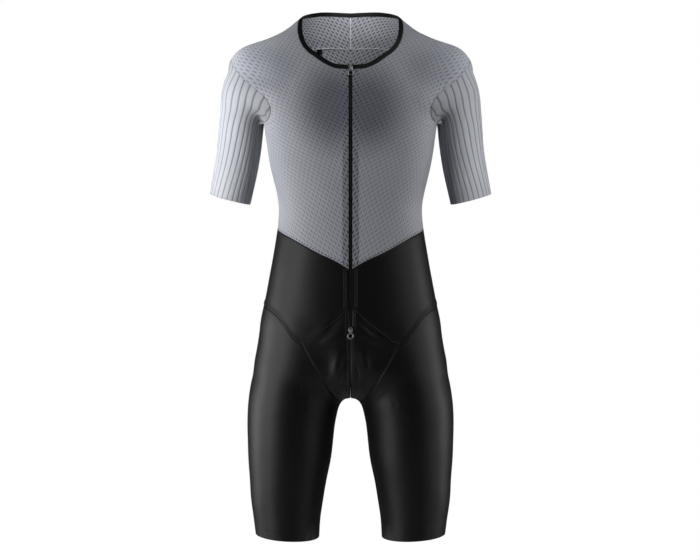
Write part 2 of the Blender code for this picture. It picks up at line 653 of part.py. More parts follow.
def centre_front(cut):
    """Adds the seams along the zip and down the middle of the insets, where the slot closes below the zip."""
    neck, waist, hip = cut["neck_front"][0], cut["waist_front"][0], cut["inset_top"][0]
    upper = front_line(ZIP_HALF, np.linspace(waist[2], neck[2], HOLE_FRONT + SIDE + 1))
    cut["zip_upper"] = pinned(upper, start=waist, end=neck)
    lower = front_line(ZIP_HALF, np.linspace(hip[2], waist[2], WAIST_DOWN + 1))
    cut["zip_waist"] = pinned(lower, start=hip, end=waist)
    turns = np.linspace(0, math.pi / 2, TURN_READS)
    sweep = np.stack(
        [np.zeros(TURN_READS), TURN_FRONT * np.cos(turns), TURN_HIGH - TURN_DROP * np.sin(turns)], axis=-1
    )
    sweep = np.concatenate([[[0, TURN_START, hip[2]]], sweep, [[0, CROTCH.y, CROTCH.z]]])
    centre = evenly(settle(sweep), INSET_DOWN + 1)
    stop = 1 + int(np.argmin(np.abs(centre[1:, 2] - ZIP_END)))
    centre[stop, 2] = ZIP_END - SEAM
    centre[stop + 1, 2] = ZIP_END - ZIP_CLOSE
    centre[:, 0] = slot_half(centre[:, 2] + 2 * SEAM)
    centre = settle(centre, along=(0, 1, 0.6))
    cut["inset_centre"] = pinned(centre, start=hip)


def crotch_and_leg(cut):
    """Adds the seams under the crotch, down the inside of the leg and round its hem."""
    crotch, corner = cut["inset_centre"][-1], cut["inset_side"][-1]
    bends = np.linspace(0, 1, CROTCH_BENDS + 1)[:, None]
    bends = pinned(settle(crotch + (corner - crotch) * bends, along=(0, 0, 1)), start=crotch, end=corner)
    cut["crotch_bends"] = bends
    share, knots = np.linspace(0, 1, INSET_TOP + 1), np.linspace(0, 1, CROTCH_BENDS + 1)
    cut["crotch_cross"] = np.stack([np.interp(share, knots, bends[:, axis]) for axis in range(3)], axis=-1)
    hem = edge_ring(HEM, LEG, HIP_FRONT + HIP_BACK)
    cut["hem"] = hem
    heights = np.linspace(corner[2], hem[0, 2], INSEAM + 1)
    middle = spline(heights, [ring.height for ring in LEG], [ring[1:4] for ring in LEG])
    drift = (middle[:, 1] - CROTCH.y) * np.linspace(0, 1, INSEAM + 1) ** INSEAM_DRIFT
    guess = np.stack([middle[:, 0] - middle[:, 2], CROTCH.y + drift, heights], axis=-1)
    cut["inseam"] = pinned(settle(guess, along=(1, 0, 0)), start=corner, end=hem[0])


def centre_back(cut):
    """Adds the lines down the middle of the back: yoke, spine, waist panels and seat."""
    crotch, neck, yoke = cut["inset_centre"][-1], cut["neck_back"][-1], cut["yoke"][0]
    waist, hip = cut["waist_back"][-1], cut["hip_back"][-1]
    middle = front_line(0.0, np.linspace(yoke[2], neck[2], HOLE_YOKE + 1), BEHIND_YOKE)
    cut["yoke_centre"] = pinned(middle, start=yoke, end=neck)
    spine = front_line(0.0, np.linspace(waist[2], yoke[2], SIDE + HOLE_BACK + 1), BEHIND)
    cut["spine"] = pinned(spine, start=waist, end=yoke)
    middle = front_line(0.0, np.linspace(hip[2], waist[2], WAIST_DOWN + 1), BEHIND)
    cut["back_waist"] = pinned(middle, start=hip, end=waist)
    turns = np.linspace(0, math.pi / 2, SEAT_READS)
    fall = crotch[2] + TURN_LIFT - TURN_HIGH
    sweep = np.stack(
        [np.zeros(SEAT_READS), CROTCH.y + TURN_BACK * np.sin(turns), TURN_HIGH + fall * np.cos(turns)], axis=-1
    )
    fine = settle(np.concatenate([[crotch], sweep[3:], [hip]]))
    fine[:, 0] = 0
    cut["seat"] = pinned(settle(evenly(fine, SEAT + 1)), start=crotch, end=hip)[::-1]


def edge_ring(edge, rings, cuts):
    """An open edge in its sloping plane, from the inside of the limb round its front and back."""
    turns = np.linspace(0, 2 * math.pi, cuts + 1)
    polar = np.stack([turns, np.full_like(turns, LIMB_GUESS), np.full_like(turns, edge.z)], axis=-1)
    points = placed(polar, rings)
    for _ in range(6):
        climb = edge.climb_out * (points[:, 0] - edge.x) + edge.climb_back * (points[:, 1] - edge.y)
        points[:, 2] = edge.z + climb
        points = settle(points, rounds=4)
    return points


def sleeve_grid(cut):
    """The sleeve: from the armhole to a level ring below the armpit, and down the arm to the cuff."""
    hole = np.concatenate([cut["hole_front"], cut["hole_yoke"][1:], cut["hole_back"][1:]])
    cuff = edge_ring(CUFF, ARM, len(hole) - 1)
    start, end = around(hole, ARM, 0.0), around(cuff, ARM, 0.0)
    start[0, 0], start[-1, 0] = 0.0, 2 * math.pi
    end[:, 0] = np.linspace(0, 2 * math.pi, len(hole))
    drop = (start[:, 2] - ARMPIT_LOW) / (start[:, 2] - end[:, 2])
    level = start + (end - start) * drop[:, None]
    level[:, 2] = ARMPIT_LOW
    level[:, 1] = arm_radius(level)
    knee = settle(placed(level, ARM))
    share = np.array(ARMPIT_ROWS)[:, None, None]
    upper = settle(hole[None] * (1 - share) + knee[None] * share)
    share = np.array(CUFF_ROWS)[:, None, None]
    polar = level[None] * (1 - share) + end[None] * share
    polar[..., 1] = arm_radius(polar)
    grid = np.concatenate([upper, settle(placed(polar, ARM))])
    grid[0], grid[-1] = hole, cuff
    under = settle((grid[1:-1, 0] + grid[1:-1, -1]) / 2)
    grid[1:-1, 0] = grid[1:-1, -1] = under
    return grid


def arm_radius(polar):
    """The arm's own radius at an angle and a height."""
    columns = spline(polar[..., 2], [ring.height for ring in ARM], [ring[1:] for ring in ARM])
    wide, deep = columns[..., 2], columns[..., 3]
    return 1 / np.sqrt((np.cos(polar[..., 0]) / wide) ** 2 + (np.sin(polar[..., 0]) / deep) ** 2)


def leg_grid(cut):
    """The leg panel, from the hip seam to the hem and round the leg from inseam to inseam."""
    high = np.concatenate([cut["hip_front"], cut["hip_back"][1:]])
    left = np.concatenate([cut["inset_side"], cut["inseam"][1:]])[::-1]
    right = np.concatenate([cut["seat"], cut["crotch_bends"][1:], cut["inseam"][1:]])[::-1]
    low = cut["hem"]
    return laid(low, high, left, right, LEG, (0.0, math.pi / 2, 0.0, 2 * math.pi))


# ---------------------------------------------------------------- binding and zip
def swept(name, rings, finish):
    """A closed bar through a row of closed outlines."""
    rings = np.array(rings)
    stations, corners = rings.shape[:2]
    faces = []
    for station in range(stations - 1):
        for corner in range(corners):
            ahead = (corner + 1) % corners
            here, there = station * corners, (station + 1) * corners
            faces.append([here + corner, here + ahead, there + ahead, there + corner])
    faces.append(list(range(corners))[::-1])
    faces.append([(stations - 1) * corners + corner for corner in range(corners)])
    mesh = bpy.data.meshes.new(name)
    mesh.from_pydata(rings.reshape(-1, 3).tolist(), [], faces)
    return add(name, turned_out(mesh), finish)


def binding(cut, finish):
    """The black band round the neck, from one side of the zip to the other."""
    half = np.concatenate([cut["neck_front"], cut["neck_back"][1:]])
    seam = np.concatenate([half * (-1, 1, 1), half[-2::-1]])
    normals = outward(seam)
    forward = unit(np.gradient(seam, axis=0))
    up = unit(np.cross(forward, normals))
    up = up * np.sign(up[:, 2:3])
    foot = seam + up * SEAM
    top = settle(foot + up * BINDING_WIDE)
    rim = outward(top)
    rings = [
        foot + normals * BINDING_PROUD,
        top + rim * BINDING_PROUD,
        top + rim * (BINDING_PROUD - BINDING_THICK),
        foot + normals * (BINDING_PROUD - BINDING_THICK),
    ]
    return swept("neck_binding", np.stack(rings, axis=1), finish)


def inner_tab(back, finish):
    """The small tab that hangs from the yoke seam inside the back, laid on one cell of the back's wall."""
    column = int(np.argmin(np.abs(back[-1, :-1, 0] + back[-1, 1:, 0] - 2 * TAB_X)))
    cell = back[-2:, column : column + 2]
    normals = outward(cell)
    wall = cell - normals * CLOTH
    middle = (TAB_X - cell[1, 0, 0]) / (cell[1, 1, 0] - cell[1, 0, 0])
    ends = np.clip((middle - TAB_ACROSS / 2, middle + TAB_ACROSS / 2), TAB_ASIDE, 1 - TAB_ASIDE)
    s, t = ends[None, :, None], np.array(TAB_UP)[:, None, None]
    grid, ways = (
        (1 - t) * ((1 - s) * at[0, 0] + s * at[0, 1]) + t * ((1 - s) * at[1, 0] + s * at[1, 1])
        for at in (wall, normals)
    )
    outer, inner = grid - ways * TAB_GAP, grid - ways * (TAB_GAP + TAB_THICK)
    return add("inner_tab", turned_out(wall_mesh("inner_tab", outer, inner)), finish)


def zip_half(name, top, finish, mirrored=False):
    """One side of the zip: the coil in the slot and the tape behind the panel."""
    heights = np.linspace(ZIP_END, top, ZIP_CUTS + 1)
    inner, outer, edge = (front_line(x, heights) for x in (SEAM / 2, ZIP_HALF - SEAM, ZIP_TAPE))
    ways = [outward(points) for points in (inner, outer, edge)]
    back, bottom = CLOTH + TAPE_DEEP, CLOTH + TAPE_DEEP + TAPE_THICK
    rings = [
        inner,
        outer,
        outer - ways[1] * back,
        edge - ways[2] * back,
        edge - ways[2] * bottom,
        inner - ways[0] * bottom,
    ]
    rings = np.stack(rings, axis=1)
    if mirrored:
        rings = rings * (-1, 1, 1)
    return swept(name, rings, finish)


# ---------------------------------------------------------------- sliders and pulls
def seat_of(slider):
    """The slider's own axes: x across, y up along the zip, z away from the cloth."""
    point = front_line(0.0, [slider.height])[0]
    away = outward(point[None])[0]
    up = np.cross(away, (1, 0, 0))
    columns = np.eye(4)
    columns[:3, 0], columns[:3, 1], columns[:3, 2], columns[:3, 3] = (1, 0, 0), up, away, point
    return Matrix(columns.tolist())


def prism(name, outline, low, high):
    """An outline in the XY plane, raised from low to high."""
    count = len(outline)
    points = [(x, y, z) for z in (low, high) for x, y in outline]
    faces = [list(range(count))[::-1], list(range(count, 2 * count))]
    faces += [[k, (k + 1) % count, count + (k + 1) % count, count + k] for k in range(count)]
    mesh = bpy.data.meshes.new(name)
    mesh.from_pydata(points, [], faces)
    return turned_out(mesh)


def plate_outline(slider):
    """A slider's plate: round shoulders above, narrower below."""
    half, up, down = slider.wide / 2, slider.long / 2, -slider.long / 2
    cut, foot = PLATE_CORNER * slider.wide, PLATE_FOOT * slider.wide
    flare = (foot + PLATE_FLARE_X, down + PLATE_FLARE_Y)
    right = [(foot, down), flare, (half, 0.0), (half, up - cut), (half - cut, up)]
    return right + [(-x, y) for x, y in reversed(right)]


def slider_body(name, slider, finish):
    """Plate and bail, joined."""
    seat = seat_of(slider)
    floor = PLATE_GAP + PLATE_THICK
    plate = add(name, prism(name, plate_outline(slider), PLATE_GAP, floor), finish)
    room, bar, reach = BAIL_ROOM, BAIL_BAR, BAIL_REACH
    foot = floor - BAIL_SUNK
    arch = [
        (-reach - bar, foot), (-reach - bar, floor + room), (-reach, floor + room + bar),
        (reach, floor + room + bar), (reach + bar, floor + room), (reach + bar, foot),
        (reach, foot), (reach, floor + room), (-reach, floor + room), (-reach, foot),
    ]
    mesh = prism(name + "_bail", arch, -BAIL_WIDE / 2, BAIL_WIDE / 2)
    mesh.transform(Matrix(((0, 0, 1, 0), (1, 0, 0, 0), (0, 1, 0, 0), (0, 0, 0, 1))))
    bail = add(name + "_bail", mesh, finish)
    bail.hide_render, bail.display_type = True, "WIRE"
    join = plate.modifiers.new("bail", "BOOLEAN")
    join.operation, join.solver, join.object = "UNION", "EXACT", bail
    for piece in (plate, bail):
        piece.matrix_world = seat
    return plate


def pull_axis(slider):
    """The pull's hinge: the middle of the room under the bail."""
    return seat_of(slider) @ Matrix.Translation((0, 0, PLATE_GAP + PLATE_THICK + BAIL_ROOM / 2))


def pull_tab(name, slider, finish):
    """A ring on a short neck with an eye that hangs on the bail. Its origin is on its hinge."""
    eye_half = BAIL_WIDE / 2 + EYE_ROOM
    arm = eye_half + PULL_ARM
    bar = PULL_EYE / 2
    centre = -slider.neck
    meet = math.asin(arm / slider.ring)
    turns = np.linspace(-math.pi + meet, math.pi - meet, RING_CUTS + 1)
    outer = [(-arm, bar), (-arm, centre + slider.ring * math.cos(meet))]
    outer += [(slider.ring * math.sin(turn), centre - slider.ring * math.cos(turn)) for turn in turns]
    outer += [(arm, bar)]
    eye_low = centre + slider.ring + EYE_WALL
    eye = [(-eye_half, -bar), (eye_half, -bar), (eye_half, eye_low), (-eye_half, eye_low)]
    inside = slider.ring - RING_BAR
    circle = np.linspace(0, 2 * math.pi, 20, endpoint=False)
    hole = [(inside * math.cos(turn), centre + inside * math.sin(turn)) for turn in circle]
    shape = bpy.data.curves.new(name, "CURVE")
    shape.dimensions = "2D"
    shape.fill_mode = "BOTH"
    shape.extrude = PULL_THICK / 2
    for outline in (outer, eye, hole):
        path = shape.splines.new("POLY")
        path.points.add(len(outline) - 1)
        for point, (x, y) in zip(path.points, outline):
            point.co = (x, y, 0, 1)
        path.use_cyclic_u = True
    made = bpy.data.objects.new(name, shape)
    shape.materials.append(finish)
    bpy.context.scene.collection.objects.link(made)
    made.matrix_world = pull_axis(slider) @ Matrix.Rotation(math.radians(slider.lean), 4, "X")
    return made


# ---------------------------------------------------------------- the suit
def grey_panels(cut, knit):
    """Fronts, yokes and back; gives the back's grid."""
    middle = math.pi / 2
    side = np.concatenate([cut["side"], cut["hole_front"][1:]])
    top = np.concatenate([cut["neck_front"], cut["shoulder"][1:]])
    starts = (middle, middle, middle, middle + 1)
    both("front", laid(cut["waist_front"], top, cut["zip_upper"], side, TRUNK, starts), knit)
    starts = (-middle,) * 4
    top = np.concatenate([cut["neck_back"][::-1], cut["shoulder"][1:]])
    both("yoke", laid(cut["yoke"], top, cut["yoke_centre"], cut["hole_yoke"][::-1], TRUNK, starts), knit)
    side = np.concatenate([cut["side"], cut["hole_back"][-2::-1]])
    half = laid(cut["waist_back"][::-1], cut["yoke"], cut["spine"], side, TRUNK, starts)
    whole = np.concatenate([(half * (-1, 1, 1))[:, ::-1], half[:, 1:]], axis=1)
    panel("back", whole, knit)
    return whole


def black_panels(cut, black):
    """Waist panels, insets and legs."""
    middle = math.pi / 2
    top = np.concatenate([cut["waist_front"], cut["waist_back"][1:]])
    low = np.concatenate([cut["inset_top"], cut["hip_front"][1:], cut["hip_back"][1:]])
    starts = (middle, middle, middle, 3 * middle)
    both("waist", laid(low, top, cut["zip_waist"], cut["back_waist"], TRUNK, starts), black)
    inset = laid(cut["crotch_cross"], cut["inset_top"], cut["inset_centre"][::-1], cut["inset_side"][::-1])
    both("inset", inset, black)
    both("leg", leg_grid(cut), black)


def build():
    """Makes the whole suit."""
    for old in list(bpy.data.objects):
        bpy.data.objects.remove(old)
    knit = material("grey knit", (0.30, 0.31, 0.34), 0.75)
    rib = material("ribbed sleeve cloth", (0.34, 0.35, 0.38), 0.6)
    black = material("black jersey", (0.015, 0.015, 0.018), 0.65)
    tape = material("black binding", (0.01, 0.01, 0.012), 0.7)
    metal = material("dark zip metal", (0.35, 0.35, 0.37), 0.35, 1.0)

    cut = seams()
    centre_front(cut)
    crotch_and_leg(cut)
    centre_back(cut)
    back = grey_panels(cut, knit)
    black_panels(cut, black)
    sleeve = sleeve_grid(cut)
    ribbed("sleeve_left", sleeve, rib)
    ribbed("sleeve_right", sleeve, rib, mirrored=True)
    inner_tab(back, tape)
    binding(cut, tape)
    top = cut["neck_front"][0][2] - ZIP_BELOW_NECK
    zip_half("zip_left", top, tape)
    zip_half("zip_right", top, tape, mirrored=True)
    for name, slider in (("top", TOP_SLIDER), ("bottom", BOTTOM_SLIDER)):
        slider_body(name + "_slider", slider, metal)
        pull_tab(name + "_pull", slider, metal)


build()
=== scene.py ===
"""Looks of the cycling skinsuit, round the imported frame.

Metres, +Z up, the front towards -Y, the wearer's left towards +X. The cloth lies on one smooth form, as it does
in the solids. Each panel is read finely from that form, creased, given a thin wall and dressed, and its seams,
zip, sliders and neck binding follow the same lines.
"""

import logging
import math
from collections.abc import Callable, Iterable, Sequence
from dataclasses import dataclass, field, replace
from enum import Enum

import bpy
import numpy as np
from mathutils import Matrix


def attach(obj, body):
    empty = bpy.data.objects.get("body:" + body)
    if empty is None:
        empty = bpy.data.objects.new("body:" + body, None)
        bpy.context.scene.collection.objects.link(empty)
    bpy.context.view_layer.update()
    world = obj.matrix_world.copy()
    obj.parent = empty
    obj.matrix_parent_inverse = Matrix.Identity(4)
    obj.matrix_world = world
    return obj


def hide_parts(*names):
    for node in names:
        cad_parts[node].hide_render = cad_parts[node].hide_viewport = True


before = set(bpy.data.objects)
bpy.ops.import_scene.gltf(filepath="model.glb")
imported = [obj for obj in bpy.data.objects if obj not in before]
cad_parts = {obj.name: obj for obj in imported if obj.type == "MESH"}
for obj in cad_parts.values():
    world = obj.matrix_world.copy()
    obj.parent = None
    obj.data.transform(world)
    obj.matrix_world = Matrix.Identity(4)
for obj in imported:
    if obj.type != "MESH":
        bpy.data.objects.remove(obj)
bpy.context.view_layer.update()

Array = np.ndarray
MIRROR = (-1, 1, 1)
Colour = tuple[float, float, float]
LOG = logging.getLogger("skinsuit")

# ---- sizes that the solids share
SEAM = 0.0003
ZIP_HALF = 0.0037
RIB_RISE = 0.0007
NECK_FRONT, NECK_BACK, SHOULDER = 10, 5, 5
HOLE_FRONT, HOLE_YOKE, HOLE_BACK = 17, 3, 7
SIDE, WAIST_DOWN = 7, 6
INSET_TOP, HIP_FRONT, HIP_BACK = 8, 7, 10
INSET_DOWN, CROTCH_BENDS, INSEAM = 14, 2, 8
SEAT = INSET_DOWN - CROTCH_BENDS
EASING = 40
FACING = (1, 9, 1)        # moves points mostly to the front or back, so that they stay put in a front view
CROTCH = (SEAM / 2, 0.014, -0.6765)
ZIP_END, ZIP_CLOSE = -0.5510, 0.0050
ARMPIT_ROWS = (0.0, 0.10, 0.26, 0.48, 0.74)
ARMPIT_LOW = -0.1740
CUFF_ROWS = (0.0, 0.18, 0.38, 0.58, 0.79, 1.0)


def metres(*rows: Sequence[float]) -> Array:
    """Rows of sizes in millimetres as an array in metres."""
    return np.array(rows, float) / 1000


TRUNK_RINGS = metres(  # height, centre x, centre y, half width, front, back
    (-600, 0, 12, 174.5, 104, 112), (-560, 0, 11, 172, 110, 113), (-526, 0, 10, 168, 112, 108),
    (-489, 0, 9, 160.5, 111, 100), (-440, 0, 8, 151, 109, 88), (-395, 0, 6, 143, 105, 80),
    (-350, 0, 4, 136, 102, 80), (-318, 0, 3, 134.5, 103, 84), (-282, 0, 2, 140.5, 109, 93),
    (-244, 0, 2, 150, 117, 104), (-200, 0, 3, 157, 123, 112), (-155, 0, 4, 164, 122, 116),
    (-110, 0, 6, 178, 112, 113), (-68, 0, 8, 193, 97, 105), (-30, 0, 10, 193, 82, 94), (-8, 0, 12, 165, 72, 85),
    (8, 0, 12, 131, 64, 79), (24, 0, 12, 108, 56, 74), (40, 0, 13, 89, 50, 67), (56, 0, 14, 75.5, 45, 60),
    (80, 0, 15, 66, 43, 54),
)
ARM_RINGS = metres(
    (-335, 233, 13, 38.2, 42, 42), (-301, 226.6, 13, 39.4, 43, 43), (-250, 216.2, 13, 40.4, 45, 45),
    (-207, 209.5, 13, 40.5, 47, 47), (-169, 206, 12, 41, 49, 49), (-130, 201.7, 11, 42.4, 52, 52),
    (-95, 195, 10, 44.4, 54, 54), (-65, 184.5, 10, 44.5, 51, 51),
)
LEG_RINGS = metres(
    (-965, 118.5, 6, 57, 60, 60), (-937, 119.2, 6, 60, 63.5, 63.5), (-905, 120, 6, 63.2, 66.5, 66.5),
    (-868, 119.8, 6, 68.4, 70.5, 70.5), (-830, 117.7, 7, 72.9, 76, 76), (-795, 115.2, 8, 77.8, 81, 81),
    (-757, 113.6, 9, 80.9, 85.5, 85.5), (-720, 111.5, 10, 83.5, 89, 90), (-690, 107.6, 11, 86.2, 92, 94),
    (-660, 103, 12, 86.8, 94, 97), (-625, 96.8, 13, 84.8, 95, 99), (-590, 90, 13, 78.5, 92, 98),
    (-550, 83, 13, 69, 88, 93),
)
BRIDGES = (               # from, to and radius of the folds that join the chest and the back to the arm
    ((0.1250, -0.050, -0.1220), (0.2000, -0.012, -0.1120), 0.0300),
    ((0.1250, 0.052, -0.1250), (0.2000, 0.034, -0.1150), 0.0300),
)
FORM_FOLDS = (            # place, direction, length, width and depth
    ((0.0350, -0.100, -0.5400), (0.78, 0.0, -0.63), 0.024, 0.0080, -0.0020),
    ((0.0380, -0.098, -0.5600), (0.86, 0.0, -0.50), 0.026, 0.0080, 0.0012),
    ((0.0250, -0.094, -0.6050), (0.12, 0.0, -1.00), 0.034, 0.0140, 0.0035),
    ((0.0000, -0.094, -0.6150), (0.00, 0.0, -1.00), 0.040, 0.0070, -0.0015),
)
NECKLINE = metres(
    (1000 * ZIP_HALF, -88, -70.6), (15.1, -88, -71), (29.1, -87, -68.1), (48.2, -83, -59.2), (62.6, -77, -49),
    (76.9, -68, -38.3), (89.4, -55, -22.2), (96.1, -38, -2.5), (97.5, -24, 10.8), (95.8, -6, 22.7), (91.7, 12, 31),
    (85, 30, 39), (74, 48, 44), (60, 60, 47), (34, 70, 48.5), (0, 74, 47.5),
)
NECK_AT_SHOULDER = 11
SHOULDER_LINE = metres(
    (85, 30, 39), (125, 34, 13), (165, 36, -8), (217, 34, -40),
)
ARMHOLE = metres(
    (164.8, 10, -163), (160, -30, -160), (151, -58, -157), (147.1, -68, -144.7), (147.6, -70, -131.4),
    (154.5, -70, -121.2), (164.8, -66, -110.7), (178.6, -58, -98), (194.7, -46, -84.9), (213.5, -22, -61.7),
    (221.5, 4, -41.6), (217, 34, -40), (208, 60, -60), (195, 80, -90), (178, 86, -120), (164, 70, -150),
    (162, 45, -160), (164.8, 10, -163),
)
ARMHOLE_TOP, ARMHOLE_YOKE = 11, 13
SIDE_LINE = metres(
    (164.8, 10, -163), (156, 12, -210), (134.5, 12, -320), (137, 12, -356),
)
YOKE_LINE = metres(
    (0, 92, -9.5), (70, 88, -10), (140, 84, -34), (195, 80, -90),
)
WAIST_LINE = metres(
    (1000 * ZIP_HALF, -103, -432), (21.3, -102, -421.3), (60, -92, -403), (100, -70, -381), (137, 12, -356),
    (95, 64, -352), (0, 86, -356),
)
WAIST_AT_SIDE = 4
HIP_LINE = metres(
    (1000 * ZIP_HALF, -102, -505), (12, -102, -511), (27.5, -100, -526), (47, -98, -541), (90.1, -83, -569),
    (125, -55, -529), (161, 10, -498), (125, 80, -482), (60, 108, -486), (0, 112, -495),
)
HIP_AT_CORNER, HIP_AT_SIDE = 4, 6
INSET_LINE = metres(
    (90.1, -83, -569), (69, -92, -606.7), (55, -86, -630.5), (37, -56, -660), (24, -20, -679), (20, 14, -684),
)
HEM = (0.1190, 0.006, -0.9380, 0.06, 0.0)          # middle of the edge, and how its cut climbs outwards and back
CUFF = (0.2278, 0.013, -0.3028, 0.27, 0.07)


# ---- small tools
class Side(Enum):
    """The wearer's sides, with the sign of their x."""

    LEFT = 1
    RIGHT = -1

    def named(self, name: str) -> str:
        """A name with the side after it."""
        return f"{name}_{self.name.lower()}"


def spline(at: Array, knots: Sequence[float], values: Array) -> Array:
    """Natural cubic spline through values at the knots, held at its ends.

    Args:
        at: Places to read, of any shape.
        knots: Rising places of the values.
        values: One row for each knot, of any further shape.

    Returns:
        The values at those places, with the shape of at followed by that of one row.
    """
    knots, values = np.asarray(knots, float), np.asarray(values, float)
    rows = values.reshape(len(knots), -1)
    steps = np.diff(knots)
    rises = np.diff(rows, axis=0) / steps[:, None]
    matrix, wanted = np.eye(len(knots)), np.zeros_like(rows)
    inside = np.arange(1, len(knots) - 1)
    matrix[inside, inside - 1], matrix[inside, inside + 1] = steps[:-1], steps[1:]
    matrix[inside, inside] = 2 * (steps[:-1] + steps[1:])
    wanted[1:-1] = 6 * np.diff(rises, axis=0)
    bends = np.linalg.solve(matrix, wanted)
    at = np.asarray(at, float)
    flat = np.clip(at.ravel(), knots[0], knots[-1])
    cell = np.clip(np.searchsorted(knots, flat, side="right") - 1, 0, len(knots) - 2)
    step = steps[cell][:, None]
    ahead = (knots[cell + 1] - flat)[:, None] / step
    behind = 1 - ahead
    curve = (ahead**3 - ahead) * bends[cell] + (behind**3 - behind) * bends[cell + 1]
    found = ahead * rows[cell] + behind * rows[cell + 1] + curve * step**2 / 6
    return found.reshape(at.shape + values.shape[1:])


def unit(vectors: Array) -> Array:
    """Vectors with their length brought to one."""
    return vectors / np.maximum(np.linalg.norm(vectors, axis=-1, keepdims=True), 1e-12)


def melted(one: Array, other: Array, softness: float | Array) -> Array:
    """The smaller of two distances, rounded off by a parabola where they are alike."""
    alike = np.maximum(softness - np.abs(one - other), 0.0) / softness
    return np.minimum(one, other) - alike**2 * softness / 4


def squared(turn: Array, across: float, up: float | None = None) -> tuple[Array, Array]:
    """Cosine and sine of an angle, each raised to a power with its sign kept, which squares a circle.

    Args:
        turn: The angles.
        across: The cosine's power.
        up: The sine's power, where it has its own.

    Returns:
        Both.
    """
    cosine, sine = np.cos(turn), np.sin(turn)
    return np.sign(cosine) * np.abs(cosine) ** across, np.sign(sine) * np.abs(sine) ** (up or across)


def round_turn(corners: int) -> Array:
    """Angles of that many corners once round."""
    return np.linspace(0, 2 * math.pi, corners, endpoint=False)


def climb(values: Array, start: float, end: float) -> Array:
    """A soft step: 0 before start, 1 after end, 3t2 - 2t3 between them."""
    share = np.clip((values - start) / (end - start), 0, 1)
    return share * share * (3 - 2 * share)


def run_of(points: Array, axis: int = 0) -> Array:
    """Length of the way along an axis of a grid or line of points, from its first point."""
    steps = np.linalg.norm(np.diff(points, axis=axis), axis=-1)
    return np.concatenate([np.zeros_like(np.take(steps, [0], axis=axis)), np.cumsum(steps, axis=axis)], axis=axis)


def evenly(line: Array, count: int) -> Array:
    """A line's points respaced: count of them, at equal lengths.

    Args:
        line: The points.
        count: How many to make.

    Returns:
        The new points.
    """
    run = run_of(line)
    at = np.linspace(0, run[-1], count)
    return np.stack([np.interp(at, run, line[:, axis]) for axis in range(line.shape[1])], axis=-1)


def pinned(points: Array, start: Array | None = None, end: Array | None = None) -> Array:
    """The same line with its ends moved to meet other lines.

    Args:
        points: The line.
        start: Where its first point goes, or None to leave it.
        end: Where its last one goes.

    Returns:
        The moved line.
    """
    share = np.linspace(0, 1, len(points))[:, None]
    first = 0 if start is None else start - points[0]
    last = 0 if end is None else end - points[-1]
    return points + (1 - share) * first + share * last


# ---- the form
@dataclass(frozen=True)
class Stack:
    """A stack of level rings: the trunk, an arm or a leg.

    Each ring is a superellipse |x/wide|^power + |y/deep|^power = 1, with its own depth in front and behind. The
    rings run into each other by splines over the height, and round caps may close the ends.
    """

    rings: Array
    power: float
    cap_above: float = 0.0
    cap_below: float = 0.0

    def columns(self, heights: Array) -> Array:
        """Centre x and y, half width, front and back at the heights."""
        return spline(heights, self.rings[:, 0], self.rings[:, 1:])

    def gap(self, points: Array) -> Array:
        """Distance of points from the stack, negative inside: reach times (1 - 1/share).

        Args:
            points: Where it is read.

        Returns:
            The distances.
        """
        z = points[..., 2]
        columns = self.columns(z)
        across, along = points[..., 0] - columns[..., 0], points[..., 1] - columns[..., 1]
        depth = np.where(along < 0, columns[..., 3], columns[..., 4])
        above = np.maximum(z - self.rings[-1][0], 0.0)
        below = np.maximum(self.rings[0][0] - z, 0.0)
        share = (np.abs(across) / columns[..., 2]) ** self.power + (np.abs(along) / depth) ** self.power
        if self.cap_above:
            share = share + (above / self.cap_above) ** self.power
        if self.cap_below:
            share = share + (below / self.cap_below) ** self.power
        share = np.maximum(share, 1e-9) ** (1 / self.power)
        caps = above**2 * bool(self.cap_above) + below**2 * bool(self.cap_below)
        return np.sqrt(across**2 + along**2 + caps) * (1 - 1 / share)

    def around(self, points: Array, start: float) -> Array:
        """Angle, radius and height of points about the stack's middle line, with angles that grow from start.

        Args:
            points: The points.
            start: The angle about which theirs are counted.

        Returns:
            Angle, radius and height of each point.
        """
        offset = points[..., :2] - self.columns(points[..., 2])[..., :2]
        angle = np.arctan2(-offset[..., 1], -offset[..., 0])
        angle = start + (angle - start + math.pi) % (2 * math.pi) - math.pi
        return np.stack([np.unwrap(angle), np.linalg.norm(offset, axis=-1), points[..., 2]], axis=-1)

    def placed(self, polar: Array) -> Array:
        """The reverse of around().

        Args:
            polar: Angles, radii and heights.

        Returns:
            The points.
        """
        middle = self.columns(polar[..., 2])
        x = middle[..., 0] - polar[..., 1] * np.cos(polar[..., 0])
        y = middle[..., 1] - polar[..., 1] * np.sin(polar[..., 0])
        return np.stack([x, y, polar[..., 2]], axis=-1)

    def radius(self, polar: Array) -> Array:
        """The stack's own radius at an angle and a height, taken as an ellipse."""
        columns = self.columns(polar[..., 2])
        return 1 / np.hypot(np.cos(polar[..., 0]) / columns[..., 2], np.sin(polar[..., 0]) / columns[..., 3])


TRUNK = Stack(TRUNK_RINGS, 2.25, cap_below=0.0765)
ARM = Stack(ARM_RINGS, 2.0, cap_above=0.048, cap_below=0.048)
LEG = Stack(LEG_RINGS, 2.0, cap_above=0.060)


